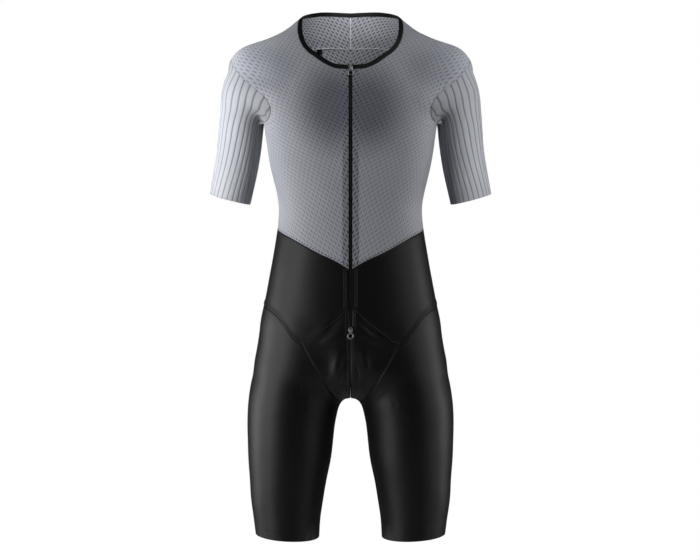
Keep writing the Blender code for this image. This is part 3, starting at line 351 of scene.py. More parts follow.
@dataclass(frozen=True)
class Form:
    """The smooth shape that all the cloth lies on: trunk, arms and legs melted together."""

    armpit_melt: float = 0.005
    shoulder_melt: float = 0.030
    armpit_high: float = -0.150
    shoulder_high: float = -0.080
    leg_melt: float = 0.026
    bridge_melt: float = 0.016

    def gap(self, points: Array) -> Array:
        """Distance of points from the whole form, negative inside.

        Args:
            points: Where it is read.

        Returns:
            The distances.
        """
        sided = np.concatenate([np.abs(points[..., :1]), points[..., 1:]], axis=-1)
        legs = melted(LEG.gap(points), LEG.gap(points * MIRROR), self.leg_melt)
        softness = climb(points[..., 2], self.armpit_high, self.shoulder_high)
        softness = self.armpit_melt + (self.shoulder_melt - self.armpit_melt) * softness
        whole = melted(melted(TRUNK.gap(points), ARM.gap(sided), softness), legs, self.leg_melt)
        for start, end, radius in BRIDGES:
            start, reach = np.array(start), np.array(end) - np.array(start)
            share = np.clip((sided - start) @ reach / (reach @ reach), 0, 1)
            bar = np.linalg.norm(sided - start - share[..., None] * reach, axis=-1) - radius
            whole = melted(whole, bar, self.bridge_melt)
        for place, way, length, width, depth in FORM_FOLDS:
            offset = sided - place
            along = offset @ (np.array(way) / np.linalg.norm(way))
            across = np.maximum(np.sum(offset**2, axis=-1) - along**2, 0.0)
            whole = whole - depth * np.exp(-((along / length) ** 2) - across / width**2)
        return whole

    def slope(self, points: Array, step: float = 0.0004) -> Array:
        """How the distance grows along x, y and z, by central differences."""
        slopes = [self.gap(points + shift) - self.gap(points - shift) for shift in np.eye(3) * step]
        return np.stack(slopes, axis=-1) / (2 * step)

    def settle(self, points: Array, along: Sequence[float] | None = None, rounds: int = 12,
               ease: Sequence[float] = (1, 1, 1)) -> Array:
        """Moves points onto the form by Newton steps.

        Args:
            points: Where they are.
            along: The only direction in which they may move, if there is one.
            rounds: How many steps.
            ease: How readily they move along x, y and z.

        Returns:
            The points on the form.
        """
        points = np.array(points, float)
        for _ in range(rounds):
            slope = self.slope(points)
            way = slope * ease if along is None else np.broadcast_to(np.asarray(along, float), slope.shape)
            rate = np.sum(slope * way, axis=-1)
            rate = np.where(np.abs(rate) < 0.05, 0.05 * np.sign(rate + 1e-12), rate)
            points = points - np.clip(self.gap(points) / rate, -0.02, 0.02)[..., None] * way
        return points

    def outward(self, points: Array) -> Array:
        """Directions straight out of the form."""
        return unit(self.slope(points))

    def front(self, x: float, heights: Array, y: float = -0.11) -> Array:
        """Points on the front of the form at a distance x from the middle, or on its back for a positive y.

        Args:
            x: The distance from the middle.
            heights: The heights.
            y: Where the search starts: below zero for the front.

        Returns:
            The points.
        """
        heights = np.asarray(heights, float)
        guess = np.stack([np.broadcast_to(x, heights.shape), np.full_like(heights, y), heights], axis=-1)
        return self.settle(guess, along=(0, 1, 0))


FORM = Form()


# ---- the cut
@dataclass
class Cut:
    """The seams of the wearer's left half, as the solids have them: points on the form, by name."""

    seams: dict[str, Array] = field(default_factory=dict)

    def __post_init__(self) -> None:
        """Lays every seam."""
        self.upper_seams()
        self.hip_seams()
        self.centre_front()
        self.legs()
        self.centre_back()

    def __getitem__(self, name: str) -> Array:
        """A seam; a name that ends in < gives it from its far end."""
        return self.seams[name[:-1]][::-1] if name.endswith("<") else self.seams[name]

    def line(self, places: Iterable, stretches: Iterable[tuple[int, int, int]], ease: Sequence[float] = FACING,
             by_turn: bool = False) -> list[Array]:
        """Points on the form along rough places.

        Args:
            places: The rough places.
            stretches: First row, last row and number of cuts of each part.
            ease: How readily points move along x, y and z.
            by_turn: Spaces them partly by the turn round the arm, so that the ribs run straight down.

        Returns:
            One array of points for each stretch.
        """
        places = np.array(places, float)
        along = run_of(places)
        parts = []
        for first, last, cuts in stretches:
            fine = spline(np.linspace(along[first], along[last], 40 * cuts + 1), along, places)
            fine = FORM.settle(fine, ease=ease)
            run = run_of(fine)
            if by_turn:
                turn = ARM.around(fine, 0.0)[:, 0]
                turn = np.maximum.accumulate(np.abs(turn - turn[0]))
                run = 0.45 * turn / turn[-1] + 0.55 * run / run[-1]
            even = np.linspace(0, run[-1], cuts + 1)
            chosen = np.stack([np.interp(even, run, fine[:, axis]) for axis in range(3)], axis=-1)
            parts.append(FORM.settle(chosen, ease=ease))
        return parts

    def upper_seams(self) -> None:
        """Neckline, armhole, shoulder, side, yoke and waist."""
        cut = self.seams
        last = len(NECKLINE) - 1
        cut["neck_front"], cut["neck_back"] = self.line(
            NECKLINE, [(0, NECK_AT_SHOULDER, NECK_FRONT), (NECK_AT_SHOULDER, last, NECK_BACK)]
        )
        stretches = [(0, ARMHOLE_TOP, HOLE_FRONT), (ARMHOLE_TOP, ARMHOLE_YOKE, HOLE_YOKE),
                     (ARMHOLE_YOKE, len(ARMHOLE) - 1, HOLE_BACK)]
        front, yoke, back = self.line(ARMHOLE, stretches, ease=(1, 4, 1), by_turn=True)
        armpit = front[0]
        cut["hole_front"], cut["hole_yoke"] = front, yoke
        cut["hole_back"] = pinned(back, start=yoke[-1], end=armpit)
        (shoulder,) = self.line(SHOULDER_LINE, [(0, len(SHOULDER_LINE) - 1, SHOULDER)])
        cut["shoulder"] = pinned(shoulder, start=cut["neck_front"][-1], end=front[-1])
        cut["waist_front"], cut["waist_back"] = self.line(
            WAIST_LINE, [(0, WAIST_AT_SIDE, NECK_FRONT + SHOULDER),
                         (WAIST_AT_SIDE, len(WAIST_LINE) - 1, NECK_BACK + SHOULDER)]
        )
        (side,) = self.line(SIDE_LINE, [(0, len(SIDE_LINE) - 1, SIDE)])
        cut["side"] = pinned(side, start=armpit, end=cut["waist_front"][-1])[::-1]
        (across,) = self.line(YOKE_LINE, [(0, len(YOKE_LINE) - 1, NECK_BACK + SHOULDER)])
        cut["yoke"] = pinned(across, end=yoke[-1])

    def hip_seams(self) -> None:
        """The waist panel's lower edge and the side of the inset."""
        cut = self.seams
        cut["inset_top"], cut["hip_front"], cut["hip_back"] = self.line(
            HIP_LINE, [(0, HIP_AT_CORNER, INSET_TOP), (HIP_AT_CORNER, HIP_AT_SIDE, HIP_FRONT),
                       (HIP_AT_SIDE, len(HIP_LINE) - 1, HIP_BACK)]
        )
        (inset,) = self.line(INSET_LINE, [(0, len(INSET_LINE) - 1, INSET_DOWN)], ease=(1, 3, 1))
        cut["inset_side"] = pinned(inset, start=cut["inset_top"][-1])

    def centre_front(self) -> None:
        """Both sides of the zip and the inset's middle, where the slot closes below the zip."""
        cut = self.seams
        neck, waist, hip = cut["neck_front"][0], cut["waist_front"][0], cut["inset_top"][0]
        upper = FORM.front(ZIP_HALF, np.linspace(waist[2], neck[2], HOLE_FRONT + SIDE + 1))
        cut["zip_upper"] = pinned(upper, start=waist, end=neck)
        lower = FORM.front(ZIP_HALF, np.linspace(hip[2], waist[2], WAIST_DOWN + 1))
        cut["zip_waist"] = pinned(lower, start=hip, end=waist)
        turns = np.linspace(0, math.pi / 2, 60)
        sweep = np.stack([np.zeros(60), -0.105 * np.cos(turns), -0.60 - 0.072 * np.sin(turns)], axis=-1)
        sweep = np.concatenate([[[0, -0.104, hip[2]]], sweep, [[0, CROTCH[1], CROTCH[2]]]])
        centre = evenly(FORM.settle(sweep), INSET_DOWN + 1)
        stop = 1 + int(np.argmin(np.abs(centre[1:, 2] - ZIP_END)))
        centre[stop, 2], centre[stop + 1, 2] = ZIP_END - SEAM, ZIP_END - ZIP_CLOSE
        centre[:, 0] = self.slot_half(centre[:, 2] + 2 * SEAM)
        cut["inset_centre"] = pinned(FORM.settle(centre, along=(0, 1, 0.6)), start=hip)

    @staticmethod
    def slot_half(heights: Array) -> Array:
        """Half of the opening between the fronts: the zip's slot, closed softly below the zip's end."""
        return ZIP_HALF + (SEAM / 2 - ZIP_HALF) * climb(-np.asarray(heights), -ZIP_END, ZIP_CLOSE - ZIP_END)

    def legs(self) -> None:
        """Crotch, hem and inside leg."""
        cut = self.seams
        crotch, corner = cut["inset_centre"][-1], cut["inset_side"][-1]
        bends = crotch + (corner - crotch) * np.linspace(0, 1, CROTCH_BENDS + 1)[:, None]
        bends = pinned(FORM.settle(bends, along=(0, 0, 1)), start=crotch, end=corner)
        cut["crotch_bends"] = bends
        share, knots = np.linspace(0, 1, INSET_TOP + 1), np.linspace(0, 1, CROTCH_BENDS + 1)
        cut["crotch_cross"] = np.stack([np.interp(share, knots, bends[:, axis]) for axis in range(3)], axis=-1)
        cut["hem"] = self.edge_ring(HEM, LEG, HIP_FRONT + HIP_BACK)
        hem = cut["hem"][0]
        heights = np.linspace(corner[2], hem[2], INSEAM + 1)
        middle = LEG.columns(heights)
        drift = (middle[:, 1] - CROTCH[1]) * np.linspace(0, 1, INSEAM + 1) ** 0.5
        guess = np.stack([middle[:, 0] - middle[:, 2], CROTCH[1] + drift, heights], axis=-1)
        cut["inseam"] = pinned(FORM.settle(guess, along=(1, 0, 0)), start=corner, end=hem)

    def centre_back(self) -> None:
        """The lines in the middle of the back: waist panel, seat, yoke and spine."""
        cut = self.seams
        crotch, waist, hip = cut["inset_centre"][-1], cut["waist_back"][-1], cut["hip_back"][-1]
        middle = FORM.front(0.0, np.linspace(hip[2], waist[2], WAIST_DOWN + 1), y=0.1)
        cut["back_waist"] = pinned(middle, start=hip, end=waist)
        turns = np.linspace(0, math.pi / 2, 80)
        low = crotch[2] + 0.005
        sweep = np.stack([np.zeros(80), CROTCH[1] + 0.11 * np.sin(turns), -0.60 + (low + 0.60) * np.cos(turns)],
                         axis=-1)
        fine = FORM.settle(np.concatenate([[crotch], sweep[3:], [hip]]))
        fine[:, 0] = 0
        cut["seat"] = pinned(FORM.settle(evenly(fine, SEAT + 1)), start=crotch, end=hip)[::-1]
        neck, yoke = cut["neck_back"][-1], cut["yoke"][0]
        middle = FORM.front(0.0, np.linspace(yoke[2], neck[2], HOLE_YOKE + 1), y=0.09)
        cut["yoke_centre"] = pinned(middle, start=yoke, end=neck)
        spine = FORM.front(0.0, np.linspace(waist[2], yoke[2], SIDE + HOLE_BACK + 1), y=0.1)
        cut["spine"] = pinned(spine, start=waist, end=yoke)

    @staticmethod
    def edge_ring(edge: tuple[float, ...], stack: Stack, cuts: int) -> Array:
        """An open edge in its sloping plane, from the inside of the limb round its front and back.

        Args:
            edge: Its middle and how it climbs outwards and back.
            stack: The limb.
            cuts: How many cuts round.

        Returns:
            The edge's points.
        """
        x, y, z, climb_out, climb_back = edge
        turns = np.linspace(0, 2 * math.pi, cuts + 1)
        points = stack.placed(np.stack([turns, np.full_like(turns, 0.05), np.full_like(turns, z)], axis=-1))
        for _ in range(6):
            points[:, 2] = z + climb_out * (points[:, 0] - x) + climb_back * (points[:, 1] - y)
            points = FORM.settle(points, rounds=4)
        return points

    def sleeve(self) -> Array:
        """The sleeve's grid: from the armhole to a level ring below the armpit, and down the arm to the cuff.

        Returns:
            The grid's points, one row for each ring.
        """
        hole = np.concatenate([self["hole_front"], self["hole_yoke"][1:], self["hole_back"][1:]])
        cuff = self.edge_ring(CUFF, ARM, len(hole) - 1)
        self.seams["hole"], self.seams["cuff"] = hole, cuff
        start, end = ARM.around(hole, 0.0), ARM.around(cuff, 0.0)
        start[0, 0], start[-1, 0] = 0.0, 2 * math.pi
        end[:, 0] = np.linspace(0, 2 * math.pi, len(hole))
        drop = (start[:, 2] - ARMPIT_LOW) / (start[:, 2] - end[:, 2])
        level = start + (end - start) * drop[:, None]
        level[:, 2] = ARMPIT_LOW
        level[:, 1] = ARM.radius(level)
        knee = FORM.settle(ARM.placed(level))
        share = np.array(ARMPIT_ROWS)[:, None, None]
        upper = FORM.settle(hole[None] * (1 - share) + knee[None] * share)
        share = np.array(CUFF_ROWS)[:, None, None]
        polar = level[None] * (1 - share) + end[None] * share
        polar[..., 1] = ARM.radius(polar)
        grid = np.concatenate([upper, FORM.settle(ARM.placed(polar))])
        grid[0], grid[-1] = hole, cuff
        grid[1:-1, 0] = grid[1:-1, -1] = FORM.settle((grid[1:-1, 0] + grid[1:-1, -1]) / 2)
        return grid


# ---- surfaces between seams
@dataclass
class Reading:
    """A patch read finely: points, ways out of the cloth, and the distances from its four edges in metres."""

    points: Array
    ways: Array
    low: Array
    high: Array
    left: Array
    right: Array

    def mirrored(self) -> "Reading":
        """The same patch on the wearer's right."""
        return replace(self, points=self.points * MIRROR, ways=self.ways * MIRROR)


@dataclass
class Patch:
    """A surface on the form between four rows of seams.

    low and high run from left to right, left and right from low to high. grid is the coarse one that the solids
    have. It is read between its points by splines both ways, moved at its edges to meet the fine seams, with a
    weight exp(-(cells/0.9)^2) that dies away inwards, and settled on the form.
    """

    low: list[Array]
    high: list[Array]
    left: list[Array]
    right: list[Array]
    stack: Stack | None = None
    starts: tuple[float, ...] = (0.0, 0.0, 0.0, 0.0)
    grid: Array | None = None

    def __post_init__(self) -> None:
        """Works out the coarse grid, unless it is given."""
        if self.grid is None:
            edges = [self.joined(edge) for edge in (self.low, self.high, self.left, self.right)]
            if self.stack is None:
                grid = self.blended(*edges)
            else:
                polar = [self.stack.around(edge, start) for edge, start in zip(edges, self.starts)]
                grid = self.stack.placed(self.blended(*polar))
            grid = FORM.settle(grid)
            grid[0], grid[-1], grid[:, 0], grid[:, -1] = edges
            self.grid = self.eased(grid)

    @staticmethod
    def joined(pieces: list[Array]) -> Array:
        """Seams that follow each other as one row of points."""
        return np.concatenate([pieces[0], *(piece[1:] for piece in pieces[1:])])

    @staticmethod
    def blended(low: Array, high: Array, left: Array, right: Array) -> Array:
        """Coons patch: the two ruled surfaces added, less the one through the corners.

        Args:
            low: The low edge.
            high: The high edge.
            left: The left edge.
            right: The right edge.

        Returns:
            The surface's points.
        """
        s = np.linspace(0, 1, low.shape[0])[None, :, None]
        t = np.linspace(0, 1, left.shape[0])[:, None, None]
        ruled = (1 - t) * low[None] + t * high[None] + (1 - s) * left[:, None] + s * right[:, None]
        corners = (1 - s) * ((1 - t) * low[0] + t * high[0]) + s * ((1 - t) * low[-1] + t * high[-1])
        return ruled - corners

    @staticmethod
    def eased(grid: Array) -> Array:
        """Lets the inner points slide on the form until the lines run smoothly: elliptic grid smoothing.

        Args:
            grid: The points.

        Returns:
            The smoothed points.
        """
        for _ in range(EASING):
            beside, beyond = grid[1:-1, :-2] + grid[1:-1, 2:], grid[:-2, 1:-1] + grid[2:, 1:-1]
            across, down = grid[1:-1, 2:] - grid[1:-1, :-2], grid[2:, 1:-1] - grid[:-2, 1:-1]
            twist = grid[2:, 2:] - grid[2:, :-2] - grid[:-2, 2:] + grid[:-2, :-2]
            wide, high, slant = (np.sum(one * two, axis=-1, keepdims=True)
                                 for one, two in ((across, across), (down, down), (across, down)))
            moved = (high * beside + wide * beyond - slant * twist / 2) / (2 * (high + wide))
            grid[1:-1, 1:-1] = FORM.settle(moved, rounds=2)
        return grid

    @staticmethod
    def chain(pieces: list[Array], at: Array) -> Array:
        """Points along seams that follow each other, each smooth in itself, at places counted in cuts.

        Args:
            pieces: The seams.
            at: The places.

        Returns:
            The points, on the form.
        """
        points, start = np.empty((len(at), 3)), 0
        for piece in pieces:
            count = len(piece) - 1
            inside = (at >= start) & (at <= start + count)
            points[inside] = spline(at[inside] - start, np.arange(count + 1), piece)
            start += count
        return FORM.settle(points, rounds=3)

    def read(self, rows: Array, columns: Array) -> Reading:
        """Reads the surface at rows and columns, counted in coarse cells.

        Args:
            rows: Rising places from 0 to the last row.
            columns: Rising places from 0 to the last column.

        Returns:
            The fine surface.
        """
        down = spline(rows, np.arange(self.grid.shape[0]), self.grid)
        grid = spline(columns, np.arange(self.grid.shape[1]), down.swapaxes(0, 1)).swapaxes(0, 1)
        low, high = self.chain(self.low, columns), self.chain(self.high, columns)
        left, right = self.chain(self.left, rows), self.chain(self.right, rows)
        for fine, edge, away in ((low, grid[0], rows), (high, grid[-1], rows[-1] - rows)):
            grid = grid + np.exp(-((away / 0.9) ** 2))[:, None, None] * (fine - edge)[None]
        for fine, edge, away in ((left, grid[:, 0], columns), (right, grid[:, -1], columns[-1] - columns)):
            grid = grid + np.exp(-((away / 0.9) ** 2))[None, :, None] * (fine - edge)[:, None]
        grid = FORM.settle(grid, rounds=2)
        grid[0], grid[-1], grid[:, 0], grid[:, -1] = low, high, left, right
        across, up = run_of(grid, axis=1), run_of(grid, axis=0)
        return Reading(grid, FORM.outward(grid), up, up[-1:] - up, across, across[:, -1:] - across)


def places(cells: int, each: int, within: Sequence[float] = (0.02, 0.05, 0.10)) -> Array:
    """Places to read along cells: so many in each one, and closer ones by both ends."""
    even = np.linspace(0, cells, cells * each + 1)
    return np.unique(np.concatenate([even, within, cells - np.array(within)]))


@dataclass(frozen=True)
class KnitMap:
    """Where the grey knit lies on the trunk, so that it keeps its size whatever the panel's grid does.

    u is the way round a level ring from the middle of the front or the back, over a squeeze that falls below the
    chest; v is the way up from the lowest ring at the same angle, over a stretch that climbs there. Both are read
    between the places of a table by straight lines.
    """

    behind: bool
    low: float = -0.47
    high: float = 0.07
    widest: float = 2.5
    squeeze: float = 0.87
    stretch: float = 1.22
    easy_from: float = -0.20
    tight_from: float = -0.30

    def table(self, turns: Array, heights: Array) -> Array:
        """The map at each height and angle.

        Args:
            turns: The angles.
            heights: The heights.

        Returns:
            u and v, one row for each height.
        """
        columns = TRUNK.columns(heights)
        deep, power = columns[:, 4 if self.behind else 3, None], TRUNK.power
        share = (np.abs(np.sin(turns)) / columns[:, 2:3]) ** power + (np.abs(np.cos(turns)) / deep) ** power
        radius = share ** (-1 / power)
        facing = 1 if self.behind else -1
        y = columns[:, 1:2] + facing * radius * np.cos(turns)
        rings = np.stack([radius * np.sin(turns), y, np.broadcast_to(heights[:, None], y.shape)], axis=-1)
        tight = climb(-heights, -self.easy_from, -self.tight_from)[:, None]
        u = run_of(rings, axis=1) / (1 + (self.squeeze - 1) * tight)
        steps = np.linalg.norm(np.diff(rings, axis=0), axis=-1) / (1 + (self.stretch - 1) * tight[1:])
        v = np.concatenate([np.zeros((1, len(turns))), np.cumsum(steps, axis=0)])
        return np.stack([u, v], axis=-1)

    def at(self, points: Array) -> Array:
        """The map at points.

        Args:
            points: Where it is read.

        Returns:
            u and v at each point.
        """
        turns, heights = np.linspace(0, self.widest, 101), np.linspace(self.low, self.high, 109)
        table = self.table(turns, heights)
        offset = points[..., 1] - TRUNK.columns(points[..., 2])[..., 1]
        angle = np.arctan2(np.abs(points[..., 0]), offset if self.behind else -offset)
        row = np.clip((points[..., 2] - self.low) / (self.high - self.low), 0, 0.9999) * (len(heights) - 1)
        column = np.clip(angle / self.widest, 0, 0.9999) * (len(turns) - 1)
        down, across = row.astype(int), column.astype(int)
        t, s = (row - down)[..., None], (column - across)[..., None]
        lower = table[down, across] * (1 - s) + table[down, across + 1] * s
        upper = table[down + 1, across] * (1 - s) + table[down + 1, across + 1] * s
        return lower * (1 - t) + upper * t


# ---- creases
@dataclass(frozen=True)
class Crease:
    """A soft ridge in the cloth, or a trough where its depth is negative.

    Its line runs smoothly through rough places that are laid on the form. Its height is
    depth * sin(pi t)^0.6 * (exp(-q^2) - 0.3 exp(-(q/2.2)^2)), where t is the share of its length and q the
    distance from its line over its width.
    """

    path: Array
    width: float
    depth: float

    def rough(self) -> Array:
        """Seventeen places along the crease, before they are laid on the form."""
        return spline(np.linspace(0, len(self.path) - 1, 17), np.arange(len(self.path)), self.path)

    def rise(self, points: Array, line: Array) -> Array:
        """How far the crease stands out.

        Args:
            points: Where to read it, of shape (n, 3).
            line: The crease's places on the form.

        Returns:
            The height at each point.
        """
        found = np.zeros(len(points))
        room = 3.2 * self.width
        near = np.all((points > line.min(axis=0) - room) & (points < line.max(axis=0) + room), axis=1)
        if not near.any():
            return found
        close = points[near]
        best, share = np.full(len(close), 1e9), np.zeros(len(close))
        run = run_of(line)
        for start, end, before, after in zip(line[:-1], line[1:], run[:-1], run[1:]):
            reach = end - start
            t = np.clip((close - start) @ reach / (reach @ reach), 0, 1)
            away = np.sum((close - start - t[:, None] * reach) ** 2, axis=1)
            nearer = away < best
            best = np.where(nearer, away, best)
            share = np.where(nearer, (before + t * (after - before)) / run[-1], share)
        reach = np.sqrt(best) / self.width
        shape = np.exp(-(reach**2)) - 0.3 * np.exp(-((reach / 2.2) ** 2))
        found[near] = self.depth * np.sin(math.pi * np.clip(share, 0, 1)) ** 0.6 * shape
        return found


CREASE_ROWS = metres(      # three places, the width and the depth
    # under the waist panels' edge, over the inset and down to the inside of the legs; then both armpits
    (-14.5, -100, -514.8, -29, -100, -527.4, -47.1, -100, -542.8, 5, -1.9),
    (12.6, -100, -517.5, 28.9, -100, -535.6, 57.9, -100, -554.6, 5.5, -2.1),
    (-16.3, -100, -548.3, -30.8, -100, -559.2, -52.5, -100, -568.2, 5.5, 1.1),
    (21.7, -100, -548.3, 38, -100, -557.4, 59.7, -100, -562.8, 5, 0.9),
    (-18.1, -100, -569.1, -38.1, -100, -571, -61.6, -100, -573.7, 3.2, -0.9),
    (30.7, -100, -566.4, 45.2, -100, -573.7, 63.4, -100, -577.3, 3, -0.6),
    (-16.3, -100, -579.1, -23.6, -100, -604.5, -30.8, -100, -633.6, 8, 2),
    (-10.9, -95, -601.3, -16.4, -95, -626.8, -23.6, -95, -652.3, 3.4, -1.1),
    (-36.3, -95, -619.5, -45.4, -95, -635.9, -56.3, -95, -654.1, 6, -1.6),
    (18.1, -100, -579.1, 27.1, -100, -597.3, 30.8, -100, -622.7, 7, 1.5),
    (9, -95, -608.6, 14.5, -95, -630.5, 10.9, -95, -655.9, 3.2, -1),
    (36.3, -95, -612.3, 30.8, -95, -634.1, 23.6, -95, -657.8, 5, -1.2),
    (-12.8, -90, -641.9, -7.3, -90, -652.9, -1.9, -90, -665.6, 2.6, -1),
    (1.8, -90, -643.7, 0, -90, -654.7, -1.9, -90, -667.5, 2.4, -0.8),
    (-29.2, -85, -655.2, -20.1, -85, -664.4, -11, -85, -675.3, 3.5, -1.1),
    (-91, -90, -636.4, -85.6, -90, -647.4, -91, -90, -662, 3.2, 0.8),
    (-80.1, -90, -649.2, -71, -90, -662, -67.4, -90, -678.4, 3.4, -0.9),
    (-92.9, -90, -667.5, -80.1, -90, -680.2, -74.7, -90, -696.7, 4, 0.7),
    (-38.3, -85, -657.1, -32.9, -85, -669.9, -27.4, -85, -684.5, 3.2, -0.9),
    (45.6, -85, -646.1, 36.4, -85, -658.9, 27.3, -85, -671.7, 3.2, -1.1),
    (60.1, -85, -653.4, 52.9, -85, -666.2, 41.9, -85, -679, 3, 0.9),
    (72.8, -90, -669.3, 80.1, -90, -678.4, 81.9, -90, -691.2, 3, -0.8),
    (-170.7, -70, -710.2, -152.4, -70, -702.9, -130.3, -70, -704.7, 7, 0.6),
    (-161.2, -60, -158.5, -152, -60, -156.7, -141, -60, -149.4, 2.6, 1),
    (-159.4, -60, -169.5, -150.2, -60, -168.6, -137.4, -60, -164, 2.4, 1.1),
    (-157.5, -60, -180.4, -148.4, -60, -180.4, -135.6, -60, -176.8, 2.6, 0.9),
    (-155.7, -60, -191.4, -148.4, -60, -193.2, -139.2, -60, -191.4, 2.3, 0.8),
    (-153.9, -60, -201.4, -146.6, -60, -204.2, -139.3, -60, -207.8, 2.2, 0.6),
    (-166.6, -60, -125.7, -157.4, -60, -122, -148.3, -60, -114.7, 2.4, 0.8),
    (-164.8, -60, -138.4, -155.6, -60, -136.6, -148.3, -60, -131.1, 2.2, 1),
    (-163, -60, -150.3, -155.7, -60, -149.4, -148.3, -60, -143.9, 2.2, 0.8),
    (159.2, -60, -133, 150.1, -60, -131.1, 140.9, -60, -122, 2.5, 0.9),
    (159.3, -60, -143.9, 148.3, -60, -143.9, 137.3, -60, -138.4, 2.3, 1.1),
    (155.6, -60, -154.9, 146.5, -60, -156.7, 133.6, -60, -153, 2.6, 0.9),
    (152, -60, -167.6, 144.7, -60, -169.5, 133.7, -60, -167.6, 2.3, 1),
    (152, -60, -180.4, 142.8, -60, -180.4, 133.7, -60, -176.8, 2.6, 0.8),
    (148.4, -60, -193.2, 141, -60, -194.1, 133.7, -60, -195, 2.2, 0.7),
    (164.7, -60, -122, 157.4, -60, -118.4, 150.1, -60, -111.1, 2.4, 0.7),
    # small of the back, from the sides inwards
    (-118, 50, -308, -70, 80, -320, -20, 90, -318, 10, -1.1),
    (124, 40, -322, 85, 70, -331, 30, 90, -337, 9, -1.2),
    (-122, 40, -339, -88, 66, -344, -48, 85, -342, 8, 0.9),
    (112, 50, -290, 64, 85, -296, 10, 95, -301, 12, -0.9),
    (-126, 35, -372, -100, 60, -380, -62, 80, -381, 8, -1),
    (128, 30, -366, 104, 55, -379, 76, 75, -386, 9, -1.1),
    (-30, 100, -230, -16, 98, -270, -12, 92, -306, 12, -0.8),
    (42, 100, -215, 30, 98, -250, 26, 93, -278, 11, -0.7),
    # behind the armpits and over the shoulder blades
    (-168, 70, -156, -148, 86, -164, -118, 100, -178, 5, -1.2),
    (166, 72, -160, 142, 90, -171, 104, 104, -190, 5.5, -1.3),
    (-164, 68, -176, -146, 82, -185, -126, 92, -198, 4, 0.9),
    (162, 70, -182, 144, 84, -193, 120, 94, -211, 4.2, 1),
    (-172, 80, -118, -152, 92, -124, -124, 104, -125, 4.8, -0.9),
    (170, 80, -126, 150, 94, -133, 130, 102, -136, 4.2, -1),
    # under the seat, from the inside of each leg outwards
    (-34, 80, -702, -70, 100, -712, -118, 96, -704, 8, -2.2),
    (30, 78, -700, 74, 100, -715, 130, 92, -710, 8.5, -2.4),
    (-46, 90, -722, -80, 100, -729, -106, 98, -727, 6, 1),
    (50, 90, -727, 82, 100, -735, 100, 98, -735, 5.8, 1.1),
    (-12, 100, -624, -30, 106, -642, -54, 108, -656, 7, -1.2),
    (10, 100, -636, 26, 104, -652, 44, 106, -670, 6.4, -1.1),
    (-8, 98, -530, -12, 106, -570, -8, 106, -606, 9, -1.2),
    # backs and sides of the thighs
    (-80, 78, -802, -112, 86, -811, -146, 74, -808, 11, -0.8),
    (86, 78, -818, 116, 84, -825, 150, 70, -819, 12, -0.8),
    (-160, 50, -552, -140, 78, -544, -108, 96, -542, 12, -0.9),
    (164, 46, -560, 146, 74, -556, 120, 92, -550, 13, -0.8),
)


class Folds:
    """Creases with their lines laid on the form, all at once."""

    def __init__(self, creases: Sequence[Crease]) -> None:
        """Lays the lines."""
        lines = FORM.settle(np.array([crease.rough() for crease in creases]), ease=FACING, rounds=8)
        self.laid = list(zip(creases, lines))

    def rise(self, points: Array) -> Array:
        """Height of all creases together, at points of any shape (..., 3).

        Args:
            points: Where it is read.

        Returns:
            The height at each point.
        """
        flat = points.reshape(-1, 3)
        total = sum((crease.rise(flat, line) for crease, line in self.laid), np.zeros(len(flat)))
        return total.reshape(points.shape[:-1])


FOLDS = Folds([Crease(row[:9].reshape(3, 3), *row[9:]) for row in CREASE_ROWS])


@dataclass(frozen=True)
class Slack:
    """The slight unevenness of worn cloth: four long waves in fixed directions, summed."""

    rise: float = 0.00028
    waves: tuple[tuple[float, float, float, float], ...] = (
        (61.0, 23.0, 48.0, 0.7), (-37.0, 52.0, 71.0, 2.1), (88.0, -41.0, 27.0, 4.0), (15.0, 77.0, -94.0, 5.2),
    )

    def at(self, points: Array) -> Array:
        """Height of the unevenness at points."""
        turns = [np.sin(points @ np.array(wave[:3]) + wave[3]) for wave in self.waves]
        return self.rise * sum(turns) / len(turns)


# ---- meshes
def quads(rows: int, columns: int, start: int = 0, closed: bool = False) -> Array:
    """Faces of a grid of points, which may close on itself from its last column to its first.

    Args:
        rows: How many rows of points.
        columns: How many columns.
        start: The number of the first point.
        closed: Whether it closes on itself.

    Returns:
        Four corner numbers for each face.
    """
    index = start + np.arange(rows * columns).reshape(rows, columns)
    if closed:
        index = np.concatenate([index, index[:, :1]], axis=1)
    return np.stack([index[:-1, :-1], index[:-1, 1:], index[1:, 1:], index[1:, :-1]], axis=-1).reshape(-1, 4)


def made(name: str, points: Array, faces: Array | list, finish: "Finish", maps: dict[str, Array] | None = None,
         inside: Array | None = None, body: str = "suit", node: str | None = None) -> bpy.types.Object:
    """A smooth mesh object that rides on a body.

    Args:
        name: The piece's name.
        points: Its corners.
        faces: Its faces, as rows of corner numbers.
        finish: What dresses it.
        maps: UV maps, one pair for each corner.
        inside: 1 at corners on the inner side of the cloth.
        body: The CAD body it rides on.
        node: The CAD node that it stands for.

    Returns:
        The object.
    """
    mesh = bpy.data.meshes.new(name)
    mesh.from_pydata(points.tolist(), [], faces if isinstance(faces, list) else faces.tolist())
    corners = np.zeros(len(mesh.loops), np.int32)
    mesh.loops.foreach_get("vertex_index", corners)
    for label, values in (maps or {}).items():
        layer = mesh.uv_layers.new(name=label)
        layer.uv.foreach_set("vector", values[corners].astype(np.float32).ravel())
    if inside is not None:
        mark = mesh.attributes.new("inside", "FLOAT", "POINT")
        mark.data.foreach_set("value", inside.astype(np.float32))
    mesh.shade_smooth()
    mesh.materials.append(finish.material())
    piece = bpy.data.objects.new(name, mesh)
    bpy.context.scene.collection.objects.link(piece)
    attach(piece, body)
    if node:
        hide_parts(node)
    return piece


def rim_of(rows: int, columns: int) -> Array:
    """Corner numbers round the edge of a grid of points."""
    index = np.arange(rows * columns).reshape(rows, columns)
    return np.concatenate([index[0, :-1], index[:-1, -1], index[-1, :0:-1], index[:0:-1, 0]])


